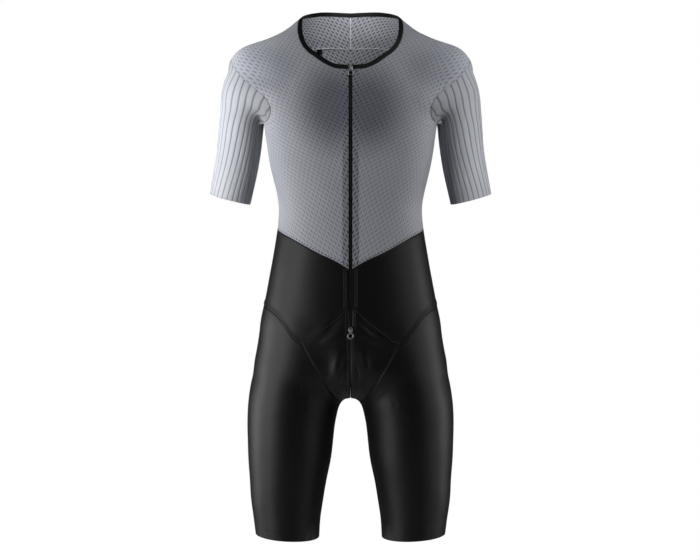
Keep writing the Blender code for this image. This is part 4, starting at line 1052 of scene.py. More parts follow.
def made_both(name: str, points: Array, faces: Array | list, finish: "Finish") -> None:
    """A closed piece on the suit's left, and its mirror image on the right.

    Args:
        name: Its name, without the side.
        points: Its corners on the left.
        faces: Its faces.
        finish: What dresses it.
    """
    for side in Side:
        placed = points * (side.value, 1, 1)
        made(side.named(name), placed, faced(placed, faces), finish)


def wall(outer: Array, inner: Array, bulge: float) -> tuple[Array, Array]:
    """A closed thin wall between two grids of the same size, with a rounded edge.

    Args:
        outer: The outer grid.
        inner: The inner grid.
        bulge: How far the middle of the edge stands out of it.

    Returns:
        Its corners (outer grid, inner grid, middle of the edge) and its faces.
    """
    rows, columns = outer.shape[:2]
    count = rows * columns
    rim = rim_of(rows, columns)
    inset = np.clip(np.array(np.unravel_index(rim, (rows, columns))).T, 1, (rows - 2, columns - 2))
    flat_outer, flat_inner = outer.reshape(-1, 3), inner.reshape(-1, 3)
    middle = (flat_outer[rim] + flat_inner[rim]) / 2
    middle += unit(flat_outer[rim] - outer[inset[:, 0], inset[:, 1]]) * bulge
    points = np.concatenate([flat_outer, flat_inner, middle])
    mid = 2 * count + np.arange(len(rim))
    after, mid_after = np.roll(rim, -1), np.roll(mid, -1)
    faces = np.concatenate([
        quads(rows, columns),
        quads(rows, columns, count)[:, ::-1],
        np.stack([after, rim, mid, mid_after], axis=-1),
        np.stack([mid_after, mid, rim + count, after + count], axis=-1),
    ])
    return points, faces


def swept(rings: Array, caps: bool = True) -> tuple[Array, list]:
    """A closed profile carried along a path.

    Args:
        rings: The profile at each station, of shape (stations, corners, 3).
        caps: Whether a face closes each end.

    Returns:
        Its corners and its faces.
    """
    stations, corners = rings.shape[:2]
    faces = quads(stations, corners, closed=True).tolist()
    if caps:
        faces.append(list(range(corners))[::-1])
        faces.append(list(range((stations - 1) * corners, stations * corners)))
    return rings.reshape(-1, 3), faces


def faced(points: Array, faces: Array | list) -> list:
    """The faces, turned round if the closed mesh they make has a negative volume.

    Args:
        points: Its corners.
        faces: Its faces, of three or four corners, or more at the caps.

    Returns:
        The faces, with their corners counted so that they point outwards.
    """
    total = 0.0
    for size in (3, 4):
        rows = np.array([face for face in faces if len(face) == size])
        for second in range(1, size - 1):
            if len(rows):
                one, two, three = points[rows[:, 0]], points[rows[:, second]], points[rows[:, second + 1]]
                total += float(np.sum(one * np.cross(two, three)))
    turned = -1 if total < 0 else 1
    return [list(face)[::turned] for face in faces]


def small_bar(along: Array, thick: Array, corners: int) -> Array:
    """A round bar whose radius changes along it, as (along, side, out).

    Args:
        along: Where its rings lie.
        thick: Their radii.
        corners: How many corners each has.

    Returns:
        Its corners, ring by ring.
    """
    turn = round_turn(corners)
    side, out = thick[:, None] * np.cos(turn), thick[:, None] * np.sin(turn)
    return np.stack([np.broadcast_to(along[:, None], side.shape), side, out], axis=-1).reshape(-1, 3)


def repeated(shape: Array, faces: Array, origins: Array, along: Array, side: Array,
             out: Array) -> tuple[Array, Array]:
    """One small shape set down many times.

    Args:
        shape: Its corners, as (along, side, out).
        faces: Its faces.
        origins: Where each copy lies.
        along: Each copy's first direction.
        side: Its second one.
        out: Its third one.

    Returns:
        The corners and faces of all copies.
    """
    ways = np.stack([along, side, out], axis=1)
    points = origins[:, None] + np.einsum("ck,nkx->ncx", shape, ways)
    shifts = np.arange(len(origins))[:, None, None] * len(shape)
    return points.reshape(-1, 3), (faces[None] + shifts).reshape(-1, faces.shape[1])


# ---- materials
class Value:
    """A number, vector or colour in a shader tree. Sums, products and functions of it make Math nodes."""

    def __init__(self, graph: "Graph", socket: bpy.types.NodeSocket) -> None:
        """Stands for that socket."""
        self.graph, self.socket = graph, socket

    def math(self, operation: str, *others: object) -> "Value":
        """A Math node's result on this number and others."""
        return self.graph.fed("ShaderNodeMath", (self, *others), operation=operation)

    def top(self, other: object) -> "Value":
        """The greater of the two."""
        return self.math("MAXIMUM", other)

    def __add__(self, other: object) -> "Value":
        """The sum."""
        return self.math("ADD", other)

    def __sub__(self, other: object) -> "Value":
        """The difference."""
        return self.math("SUBTRACT", other)

    def __rsub__(self, other: float) -> "Value":
        """A plain number less this one."""
        return self.graph.fed("ShaderNodeMath", (other, self), operation="SUBTRACT")

    def __mul__(self, other: object) -> "Value":
        """The product."""
        return self.math("MULTIPLY", other)

    def __truediv__(self, other: object) -> "Value":
        """The quotient."""
        return self.math("DIVIDE", other)


class Graph:
    """Adds nodes to a tree. What feeds them is numbers, tuples, values or the sockets of other nodes."""

    def __init__(self, tree: bpy.types.NodeTree) -> None:
        """Works on that tree."""
        self.tree = tree

    def add(self, kind: str, **settings: object) -> bpy.types.Node:
        """A new node.

        Args:
            kind: Its type.
            settings: Its properties.

        Returns:
            The node.
        """
        node = self.tree.nodes.new(kind)
        for name, value in settings.items():
            setattr(node, name, value)
        return node

    def feed(self, socket: bpy.types.NodeSocket, value: object) -> None:
        """Links a socket to what feeds it, or sets its value.

        Args:
            socket: The socket.
            value: What feeds it; a colour leaves out its alpha.
        """
        if isinstance(value, Value):
            value = value.socket
        if isinstance(value, bpy.types.NodeSocket):
            self.tree.links.new(value, socket)
        else:
            socket.default_value = (*value, 1) if socket.type == "RGBA" else value

    def fed(self, kind: str, values: Iterable, sockets: Sequence[int] = (), out: int = 0,
            **settings: object) -> Value:
        """What a new node puts out.

        Args:
            kind: Its type.
            values: What feeds it.
            sockets: The numbers of the inputs that are fed, if they aren't the first ones.
            out: The number of its output.
            settings: Its properties.

        Returns:
            The output.
        """
        node = self.add(kind, **settings)
        for number, value in zip(sockets or range(len(node.inputs)), values):
            self.feed(node.inputs[number], value)
        return Value(self, node.outputs[out])

    def place(self) -> Value:
        """Object coordinates, in metres."""
        return Value(self, self.add("ShaderNodeTexCoord").outputs["Object"])

    def map(self, name: str) -> Value:
        """The piece's own UV map of that name."""
        return self.fed("ShaderNodeUVMap", (), uv_map=name)

    def parts(self, vector: object) -> list[Value]:
        """The three parts of a vector.

        Args:
            vector: What is taken apart.

        Returns:
            Its x, y and z.
        """
        node = self.add("ShaderNodeSeparateXYZ")
        self.feed(node.inputs[0], vector)
        return [Value(self, socket) for socket in node.outputs]

    def mix(self, share: object, one: object, two: object) -> Value:
        """A mix of two colours."""
        return self.fed("ShaderNodeMix", (share, one, two), (0, 6, 7), 2, data_type="RGBA")

    def step(self, value: object, low: object, high: object, to_low: float = 0.0, to_high: float = 1.0) -> Value:
        """A soft step of a value between two limits."""
        return self.fed("ShaderNodeMapRange", (value, low, high, to_low, to_high), interpolation_type="SMOOTHSTEP")

    def group(self, effect: "Effect", vector: Value, **inputs: object) -> dict[str, Value]:
        """Sets a shared effect in the tree.

        Args:
            effect: The effect.
            vector: Where its pattern is read.
            inputs: Its other inputs, by name.

        Returns:
            Its outputs, by name.
        """
        node = self.add("ShaderNodeGroup", node_tree=effect.tree())
        for name, value in {"Vector": vector, **inputs}.items():
            self.feed(node.inputs[name], value)
        return {socket.name: Value(self, socket) for socket in node.outputs}


@dataclass(frozen=True)
class Effect:
    """A shader node group that finishes share, built the first time that one uses it."""

    name: str
    inputs: dict[str, float]
    draw: Callable[[Graph, dict[str, Value]], dict[str, Value]]

    def tree(self) -> bpy.types.NodeTree:
        """The group, with a Vector and its inputs, and with the outputs that draw makes from them.

        Returns:
            The tree.
        """
        found = bpy.data.node_groups.get(self.name)
        if found is not None:
            return found
        tree = bpy.data.node_groups.new(self.name, "ShaderNodeTree")
        tree.interface.new_socket(name="Vector", in_out="INPUT", socket_type="NodeSocketVector")
        for label, default in self.inputs.items():
            socket = tree.interface.new_socket(name=label, in_out="INPUT", socket_type="NodeSocketFloat")
            socket.default_value = default
        graph = Graph(tree)
        given = {socket.name: Value(graph, socket) for socket in graph.add("NodeGroupInput").outputs}
        results = self.draw(graph, given)
        for label in results:
            tree.interface.new_socket(name=label, in_out="OUTPUT", socket_type="NodeSocketFloat")
        out = graph.add("NodeGroupOutput")
        for label, value in results.items():
            graph.feed(out.inputs[label], value)
        return tree


def open_knit(graph: Graph, given: dict[str, Value]) -> dict[str, Value]:
    """Rows of long small holes on a slant, each row a part of a hole on from the last.

    Row = (v cos - u sin) / Pitch and place = (u cos + v sin) / Length - Stagger * the row's number. A hole is
    where (a / Reach)^2 + ((b + Lean a) / Width)^2 is below one, with a and b the remainders of place and row
    less a half.

    Args:
        graph: Where its nodes go.
        given: The group's inputs.

    Returns:
        Hole, which is 1 in a hole, and Height.
    """
    u, v, _ = graph.parts(given["Vector"])
    cosine, sine, soft = given["Slant"].math("COSINE"), given["Slant"].math("SINE"), given["Softness"]
    row = (v * cosine - u * sine) / given["Pitch"]
    place = (u * cosine + v * sine) / given["Length"] - row.math("FLOOR") * given["Stagger"]
    a, b = place.math("FRACT") - 0.5, row.math("FRACT") - 0.5
    long, wide = a / given["Reach"], (b + a * given["Lean"]) / given["Width"]
    reach = (long * long + wide * wide).math("SQRT")
    return {"Hole": graph.step(reach, 1.0 - soft, soft + 1.0, 1.0, 0.0), "Height": graph.step(reach, 0.4, 2.2)}


def fine_knit(graph: Graph, given: dict[str, Value]) -> dict[str, Value]:
    """Fine wales and courses: sin across times a weaker |sin| along, the two sides of a wale slanted.

    Args:
        graph: Where its nodes go.
        given: The group's inputs.

    Returns:
        Height, and a Shade that falls as it climbs.
    """
    u, v, _ = graph.parts(given["Vector"])
    side = (u / given["Wale"]).math("PINGPONG", 0.5)
    loop = ((v / given["Course"] + side) * math.pi).math("SINE").math("ABSOLUTE")
    height = (side * math.pi).math("SINE") * (loop * 0.45 + 0.55)
    return {"Height": height, "Shade": 1.0 - height * 0.5}


def unevenness(graph: Graph, given: dict[str, Value]) -> dict[str, Value]:
    """Slow and quick noise: 1 + 2 Amount (slow - 0.5), and the quick one as it is.

    Args:
        graph: Where its nodes go.
        given: The group's inputs.

    Returns:
        Shade, about one, and Grain from 0 to 1.
    """
    slow, quick = (graph.fed("ShaderNodeTexNoise", (given["Vector"], given[label], detail), (0, 2, 3))
                   for label, detail in (("Slow", 3.0), ("Quick", 1.0)))
    return {"Shade": (slow - 0.5) * given["Amount"] * 2.0 + 1.0, "Grain": quick}


OPEN_KNIT = Effect("open knit", {"Slant": 1.047, "Pitch": 0.0051, "Length": 0.0112, "Stagger": 0.33, "Lean": 0.42,
                                 "Reach": 0.30, "Width": 0.18, "Softness": 0.45}, open_knit)
FINE_KNIT = Effect("fine knit", {"Wale": 0.0011, "Course": 0.0009}, fine_knit)
UNEVENNESS = Effect("unevenness", {"Slow": 22.0, "Quick": 900.0, "Amount": 0.08}, unevenness)


@dataclass(frozen=True)
class Finish:
    """What every finish has: a name that is no slot's, the record's slot, a colour and its plain shader values.

    Its slow and quick noise have their scales, uneven is how much the slow one shades it, and relief is how far
    its pattern stands out, in metres. Where gloss_grain isn't zero, the roughness is roughness - gloss_below +
    gloss_grain * the quick noise.
    """

    name: str
    slot: str
    colour: Colour
    roughness: float = 0.6
    metallic: float = 0.0
    sheen: float = 0.0
    sheen_rough: float = 0.4
    specular: float = 0.5
    slow: float = 22.0
    quick: float = 900.0
    uneven: float = 0.08
    relief: float = 0.0001
    gloss_below: float = 0.0
    gloss_grain: float = 0.0

    def material(self) -> bpy.types.Material:
        """The material, built the first time that it is asked for.

        Returns:
            The material.
        """
        found = bpy.data.materials.get(self.name)
        if found is not None:
            return found
        new = bpy.data.materials.new(self.name)
        new.use_nodes = True
        new.diffuse_color = (*self.colour, 1)
        graph, shader = Graph(new.node_tree), new.node_tree.nodes["Principled BSDF"]
        for label, value in (("Base Color", self.colour), ("Roughness", self.roughness),
                             ("Metallic", self.metallic), ("Sheen Weight", self.sheen),
                             ("Sheen Roughness", self.sheen_rough), ("Specular IOR Level", self.specular)):
            graph.feed(shader.inputs[label], value)
        noise = graph.group(UNEVENNESS, graph.place(), Slow=self.slow, Quick=self.quick, Amount=self.uneven)
        self.draw(graph, shader, noise)
        if self.gloss_grain:
            rough = noise["Grain"] * self.gloss_grain + (self.roughness - self.gloss_below)
            graph.feed(shader.inputs["Roughness"], rough)
        return new

    def draw(self, graph: Graph, shader: bpy.types.Node, noise: dict[str, Value]) -> None:
        """Adds the finish's pattern; a plain one gets a fine grain."""
        self.lay(graph, shader, self.colour, noise["Shade"], noise["Grain"])

    def lay(self, graph: Graph, shader: bpy.types.Node, colour: object, shade: Value, height: Value) -> None:
        """Feeds the base colour and the normal.

        Args:
            graph: The material's nodes.
            shader: Its Principled BSDF.
            colour: The colour.
            shade: What it is multiplied by.
            height: The height that bends the normal.
        """
        scaled = graph.fed("ShaderNodeVectorMath", (colour, shade), (0, 3), operation="SCALE")
        graph.feed(shader.inputs["Base Color"], scaled)
        bump = graph.add("ShaderNodeBump")
        bump.inputs["Distance"].default_value = self.relief
        graph.feed(bump.inputs["Height"], height)
        graph.feed(shader.inputs["Normal"], bump.outputs[0])


@dataclass(frozen=True)
class MeshKnit(Finish):
    """The grey open knit: long small holes in rows that climb outwards, most open over the chest.

    The holes' colours are painted shade, the dark seen through the knit, except on the strip beside the zip, where
    the deeper colour is the black tape under it. Over the chest, and less over the shoulders, the holes are wider
    and darker and the yarn is painted darker: a painted shade where they lie in shade, while the chest's knit is
    also more open. On the strip the yarn is darker where the tape shows through. The inside of the cloth is
    painted lighter than its outside, a painted light that stands for light coming through the knit. An oval is
    given by its middle's distance to the side and height, its half width and its half height. The share of a
    colour or of a hole's width that goes with the painted shade, the tape or the opening has its field.
    """

    name: str = "mesh_knit_cloth"
    slot: str = "mesh_knit"
    colour: Colour = (0.410, 0.422, 0.470)
    # painted shade: the yarn's darker colour over the chest and the shoulders; on the strip beside the zip it is
    # the tape showing through
    stretched_colour: Colour = (0.120, 0.130, 0.165)
    # painted shade: the holes' colours are the dark seen through the knit; over the strip the deep colour is the
    # black tape
    hole_colour: Colour = (0.190, 0.198, 0.230)
    deep_colour: Colour = (0.030, 0.033, 0.042)
    # painted light: the inside is lighter than the yarn's own colour, standing for light coming through the knit;
    # its holes stay dark, a painted shade
    inner_colour: Colour = (0.50, 0.51, 0.56)
    inner_hole: Colour = (0.065, 0.068, 0.082)
    sheen: float = 0.05
    uneven: float = 0.05
    relief: float = 0.0004
    front: bool = False
    strip_from: float = 0.0120
    strip_to: float = 0.0150
    seam_dash: float = 0.0064
    # ovals of painted shade over the chest, whose holes also open wider, and over the shoulders
    chest: tuple[float, ...] = (0.030, -0.140, 0.078, 0.095)
    shoulder: tuple[float, ...] = (0.165, -0.062, 0.075, 0.055)
    shoulder_share: float = 0.6
    chest_opens: float = 0.75
    chest_stretches: float = 0.9
    strip_stretches: float = 0.5
    hole_width: float = 0.155
    hole_widens: float = 0.07
    grain: float = 0.15

    def draw(self, graph: Graph, shader: bpy.types.Node, noise: dict[str, Value]) -> None:
        """The knit's holes and relief, with painted shade in the holes and over the chest and the shoulders and
        painted light on the inside, and on a front the placket strip and the dashes over the waist seam.

        Args:
            graph: The material's nodes.
            shader: Its Principled BSDF.
            noise: The finish's unevenness.
        """
        # painted shade over the chest and, at shoulder_share, over the shoulders
        chest = self.oval(graph, *self.chest).top(self.oval(graph, *self.shoulder) * self.shoulder_share)
        strip, dash = (self.strip(graph), self.dashes(graph)) if self.front else (0.0, 0.0)
        opened = (chest * self.chest_opens).top(strip)
        inside = graph.fed("ShaderNodeAttribute", (), out=2, attribute_name="inside")
        width = opened.top(inside) * self.hole_widens + self.hole_width
        knit = graph.group(OPEN_KNIT, graph.map("cloth"), Width=width)
        # painted shade: the yarn darker over the chest and the shoulders; on the strip, the tape showing through
        shade_and_tape = (chest * self.chest_stretches).top(strip * self.strip_stretches)
        yarn = graph.mix(shade_and_tape, self.colour, self.stretched_colour)
        # painted shade in the holes, deeper where the knit lies open over the chest and the shoulders and on the
        # dashes; black tape on the strip
        dark = graph.mix(opened.top(dash), self.hole_colour, self.deep_colour)
        # painted light on the inside of the cloth, with painted shade in its holes
        lit_inside = graph.mix(knit["Hole"], self.inner_colour, self.inner_hole)
        colour = graph.mix(inside, graph.mix(knit["Hole"].top(dash), yarn, dark), lit_inside)
        self.lay(graph, shader, colour, noise["Shade"], knit["Height"] + noise["Grain"] * self.grain)

    @staticmethod
    def oval(graph: Graph, aside: float, height: float, wide: float, high: float) -> Value:
        """Where the knit has painted shade and wider holes: 1 in the middle of an oval on each side, to 0 beyond
        it.

        Args:
            graph: The material's nodes.
            aside: The middle's distance from the suit's middle.
            height: Its height.
            wide: The oval's half width.
            high: Its half height.

        Returns:
            The mask.
        """
        x, _, z = graph.parts(graph.place())
        across, up = (x.math("ABSOLUTE") - aside) / wide, (z - height) / high
        return graph.step((across * across + up * up).math("SQRT"), 0.25, 1.20, 1.0, 0.0)

    def strip(self, graph: Graph) -> Value:
        """1 on the strip beside the zip, where the knit lies over black tape."""
        away = graph.parts(graph.map("zip"))[0]
        return graph.step(away, self.strip_from, self.strip_to, 1.0, 0.0)

    def dashes(self, graph: Graph) -> Value:
        """A row of dark dashes just over the waist seam.

        Args:
            graph: The material's nodes.

        Returns:
            The mask.
        """
        near = graph.map("waist")
        row = graph.group(OPEN_KNIT, near, Slant=0.0, Pitch=self.seam_dash, Length=self.seam_dash, Lean=0.55,
                          Reach=0.30, Width=0.17)
        return row["Hole"] * graph.parts(near)[1].math("LESS_THAN", self.seam_dash)


@dataclass(frozen=True)
class RibKnit(Finish):
    """The sleeves' cloth: pale ribs, painted darker towards the grooves between them, a painted shade."""

    name: str = "ribbed_knit_cloth"
    slot: str = "ribbed_knit"
    colour: Colour = (0.31, 0.32, 0.35)
    # painted shade in the grooves between the ribs
    groove_colour: Colour = (0.14, 0.145, 0.165)
    roughness: float = 0.55
    sheen: float = 0.1
    uneven: float = 0.05
    relief: float = 0.00025
    rib_wide: float = 0.0100
    groove_from: float = 0.03
    groove_to: float = 0.17

    def draw(self, graph: Graph, shader: bpy.types.Node, noise: dict[str, Value]) -> None:
        """Painted shade, darker towards each groove, from the rib's number in the cloth map, with fine knit along
        the rib.

        Args:
            graph: The material's nodes.
            shader: Its Principled BSDF.
            noise: The finish's unevenness.
        """
        number, down, _ = graph.parts(graph.map("cloth"))
        groove = graph.step(number.math("PINGPONG", 0.5), self.groove_from, self.groove_to, 1.0, 0.0)
        spread = graph.fed("ShaderNodeCombineXYZ", (number * self.rib_wide, down))
        knit = graph.group(FINE_KNIT, spread, Wale=0.0012, Course=0.0010)
        colour = graph.mix(groove, self.colour, self.groove_colour)
        self.lay(graph, shader, colour, noise["Shade"] * (1.2 - knit["Shade"] * 0.25), knit["Height"])


@dataclass(frozen=True)
class BlackKnit(Finish):
    """The black jersey of waist, inset and legs: fine, dense and a little shiny."""

    name: str = "black_knit_cloth"
    slot: str = "black_knit"
    colour: Colour = (0.0040, 0.0040, 0.0047)
    roughness: float = 0.46
    specular: float = 0.34
    uneven: float = 0.10
    relief: float = 0.00003
    gloss_below: float = 0.03
    gloss_grain: float = 0.06

    def draw(self, graph: Graph, shader: bpy.types.Node, noise: dict[str, Value]) -> None:
        """Fine wales with a little noise in colour and gloss.

        Args:
            graph: The material's nodes.
            shader: Its Principled BSDF.
            noise: The finish's unevenness.
        """
        knit = graph.group(FINE_KNIT, graph.map("cloth"))
        self.lay(graph, shader, self.colour, noise["Shade"] * knit["Shade"], knit["Height"])


@dataclass(frozen=True)
class Metal(Finish):
    """Plated zip metal: fine brushing, uneven gloss, and worn a little brighter in places."""

    name: str = "plated_metal"
    slot: str = "zip_metal"
    colour: Colour = (0.46, 0.46, 0.47)
    roughness: float = 0.32
    metallic: float = 1.0
    slow: float = 400.0
    quick: float = 3000.0
    uneven: float = 0.25
    relief: float = 0.00004
    gloss_below: float = 0.06
    gloss_grain: float = 0.14


FRONT_KNIT = MeshKnit(name="mesh_knit_front", front=True)
BACK_KNIT = MeshKnit()
RIBBED = RibKnit()
BLACK = BlackKnit()
METAL = Metal()
TAPE = Finish("woven_tape", "black_tape", (0.0030, 0.0030, 0.0040), roughness=0.55, specular=0.25)
COIL = Finish("zip_coil", "black_tape", (0.008, 0.008, 0.009), roughness=0.45, specular=0.3)
BLACK_THREAD = Finish("black_thread", "black_knit", (0.0045, 0.0045, 0.0050), specular=0.3)
GREY_THREAD = Finish("grey_thread", "mesh_knit", (0.16, 0.165, 0.18), roughness=0.55)
# painted highlight: a light line along the black knit's turned edges and placket lines, far lighter than the black
# knit itself
EDGE_HIGHLIGHT = Finish("lap_edge", "black_knit", (0.030, 0.030, 0.034), roughness=0.45)
# painted highlight: the seam ridges inside the back, in the same knit, far lighter than its yarn
RIDGE_HIGHLIGHT = Finish("seam_ridge", "mesh_knit", (0.74, 0.75, 0.78))


# ---- cloth panels
BLACK_GROOVE = 0.0010       # depth of the seams on the black knit, which show as dark lines


class EdgeKind(Enum):
    """How the cloth ends at a panel's edge."""

    SEWN = "sinks into a seam"
    OPEN = "ends at a hem, a cuff or the zip"
    LAPPED = "lies over the next panel"


@dataclass
class ClothPanel:
    """A piece of cloth on its patch: creased, sunk or raised at its edges, and given a thin wall."""

    node: str
    surface: Reading
    finish: Finish
    flat: tuple[float, float]
    area: float
    edges: tuple[EdgeKind, EdgeKind, EdgeKind, EdgeKind]     # low, high, left, right
    sewn_to: tuple[str, ...] = ()
    thickness: float = 0.0010
    groove_deep: float = 0.00055
    groove_wide: float = 0.0014
    lap_rise: float = 0.0009
    lap_wide: float = 0.0060
    slack: Slack = field(default_factory=Slack)

    def relief(self) -> Array:
        """How far the cloth stands out of the form: creases, slack and edges.

        A sewn edge sinks by groove_deep * exp(-(d / groove_wide)^2); a lapped one rises by lap_rise over lap_wide.

        Returns:
            The height at each point of the panel.
        """
        surface = self.surface
        rise = FOLDS.rise(surface.points) + self.slack.at(surface.points)
        for kind, away in zip(self.edges, (surface.low, surface.high, surface.left, surface.right)):
            if kind is EdgeKind.SEWN:
                rise = rise - self.groove_deep * np.exp(-((away / self.groove_wide) ** 2))
            elif kind is EdgeKind.LAPPED:
                rise = rise + self.lap_rise * (1 - climb(away, 0.5 * self.lap_wide, 1.5 * self.lap_wide))
        return rise

    def maps(self) -> dict[str, Array]:
        """The cloth map, in metres: on the grey knit that of KnitMap, and otherwise u along the rows in plan from
        the left edge and v up the columns seen from the side.

        Returns:
            u and v at each point, by the map's name.
        """
        points = self.surface.points
        if isinstance(self.finish, MeshKnit):
            return {"cloth": KnitMap(behind=not self.finish.front).at(points)}
        plan, seen = points.copy(), points.copy()
        plan[..., 2], seen[..., 0] = 0, 0
        u = run_of(plan, axis=1)
        v = points[:1, :, 2] + run_of(seen, axis=0)
        return {"cloth": np.stack([u, v], axis=-1)}

    def drawn_in(self, grid: Array) -> Array:
        """The grid with its four edges drawn in by half a seam, flat on the cloth.

        Args:
            grid: The panel's points.

        Returns:
            The drawn-in points.
        """
        out, ways = grid.copy(), self.surface.ways

        def inward(way: Array, normals: Array) -> Array:
            """A direction laid flat on the cloth."""
            return unit(way - np.sum(way * normals, axis=-1, keepdims=True) * normals) * SEAM / 2

        for edge, inner in ((0, 1), (-1, -2)):
            out[edge] += inward(grid[inner] - grid[edge], ways[edge])
            out[:, edge] += inward(grid[:, inner] - grid[:, edge], ways[:, edge])
        return out

    def build(self) -> bpy.types.Object:
        """Returns:
            The piece.
        """
        surface = self.surface
        outer = self.drawn_in(surface.points) + surface.ways * self.relief()[..., None]
        inner = outer - surface.ways * self.inner_depth()[..., None]
        points, faces = wall(outer, inner, 0.3 * self.thickness)
        across = outer[0, 1] - outer[0, 0]
        if np.cross(across, outer[1, 0] - outer[0, 0]) @ surface.ways[0, 0] < 0:
            faces = faces[:, ::-1]
        count = surface.low.size
        rim = rim_of(*surface.low.shape)
        maps = {}
        for label, values in self.maps().items():
            values = values.reshape(-1, 2)
            maps[label] = np.concatenate([values, values, values[rim]])
        inside = np.concatenate([np.zeros(count), np.ones(count), np.full(len(rim), 0.5)])
        piece = made(f"{self.node}_cloth", points, faces, self.finish, maps, inside, node=self.node)
        LOG.info("%s: %d faces", piece.name, len(faces))
        return piece

    def inner_depth(self) -> Array:
        """Depth of the inner side below the outer one."""
        return np.full(self.surface.low.shape, self.thickness)


@dataclass
class FrontPanel(ClothPanel):
    """A front: its placket stands a little out beside the zip, under a second map of distances from the zip."""

    placket_wide: float = 0.0125
    placket_rise: float = 0.0005
    placket_fade: float = 0.0006

    def relief(self) -> Array:
        """The cloth's relief, with the placket raised by a soft step.

        Returns:
            The height at each point of the panel.
        """
        away = self.surface.left
        step = 1 - climb(away, self.placket_wide - self.placket_fade, self.placket_wide + self.placket_fade)
        return super().relief() + self.placket_rise * step

    def maps(self) -> dict[str, Array]:
        """The cloth map, and the distances from the zip and from the waist seam.

        Returns:
            u and v at each point, by the map's name.
        """
        maps, surface = super().maps(), self.surface
        maps["zip"] = np.stack([surface.left, surface.points[..., 2]], axis=-1)
        maps["waist"] = np.stack([surface.left, surface.low], axis=-1)
        return maps


@dataclass
class SleevePanel(ClothPanel):
    """A sleeve: ribs run from the armhole to the cuff, one to each coarse column.

    A rib stands RIB_RISE out of its grooves, which are exp(-(s/groove_share)^2) wide on both sides of a column.
    """

    turns: Array | None = None
    crown: float = 0.00032
    groove_share: float = 0.07

    def rib(self) -> Array:
        """Height of the ribs at each column.

        Returns:
            The heights.
        """
        share = self.turns % 1.0
        groove = sum(np.exp(-((away / self.groove_share) ** 2)) for away in (share, 1 - share))
        return RIB_RISE * (1 - np.minimum(groove, 1)) + self.crown * np.sin(math.pi * share)

    def relief(self) -> Array:
        """The cloth's relief with its ribs."""
        return super().relief() + self.rib()[None]

    def inner_depth(self) -> Array:
        """The inside is plain, so it lies deeper under a rib than under a groove."""
        return super().inner_depth() + self.rib()[None]

    def maps(self) -> dict[str, Array]:
        """The cloth map: the rib's number, and the way down the sleeve in metres."""
        u = np.broadcast_to(self.turns[None], self.surface.low.shape)
        return {"cloth": np.stack([u, self.surface.low], axis=-1)}


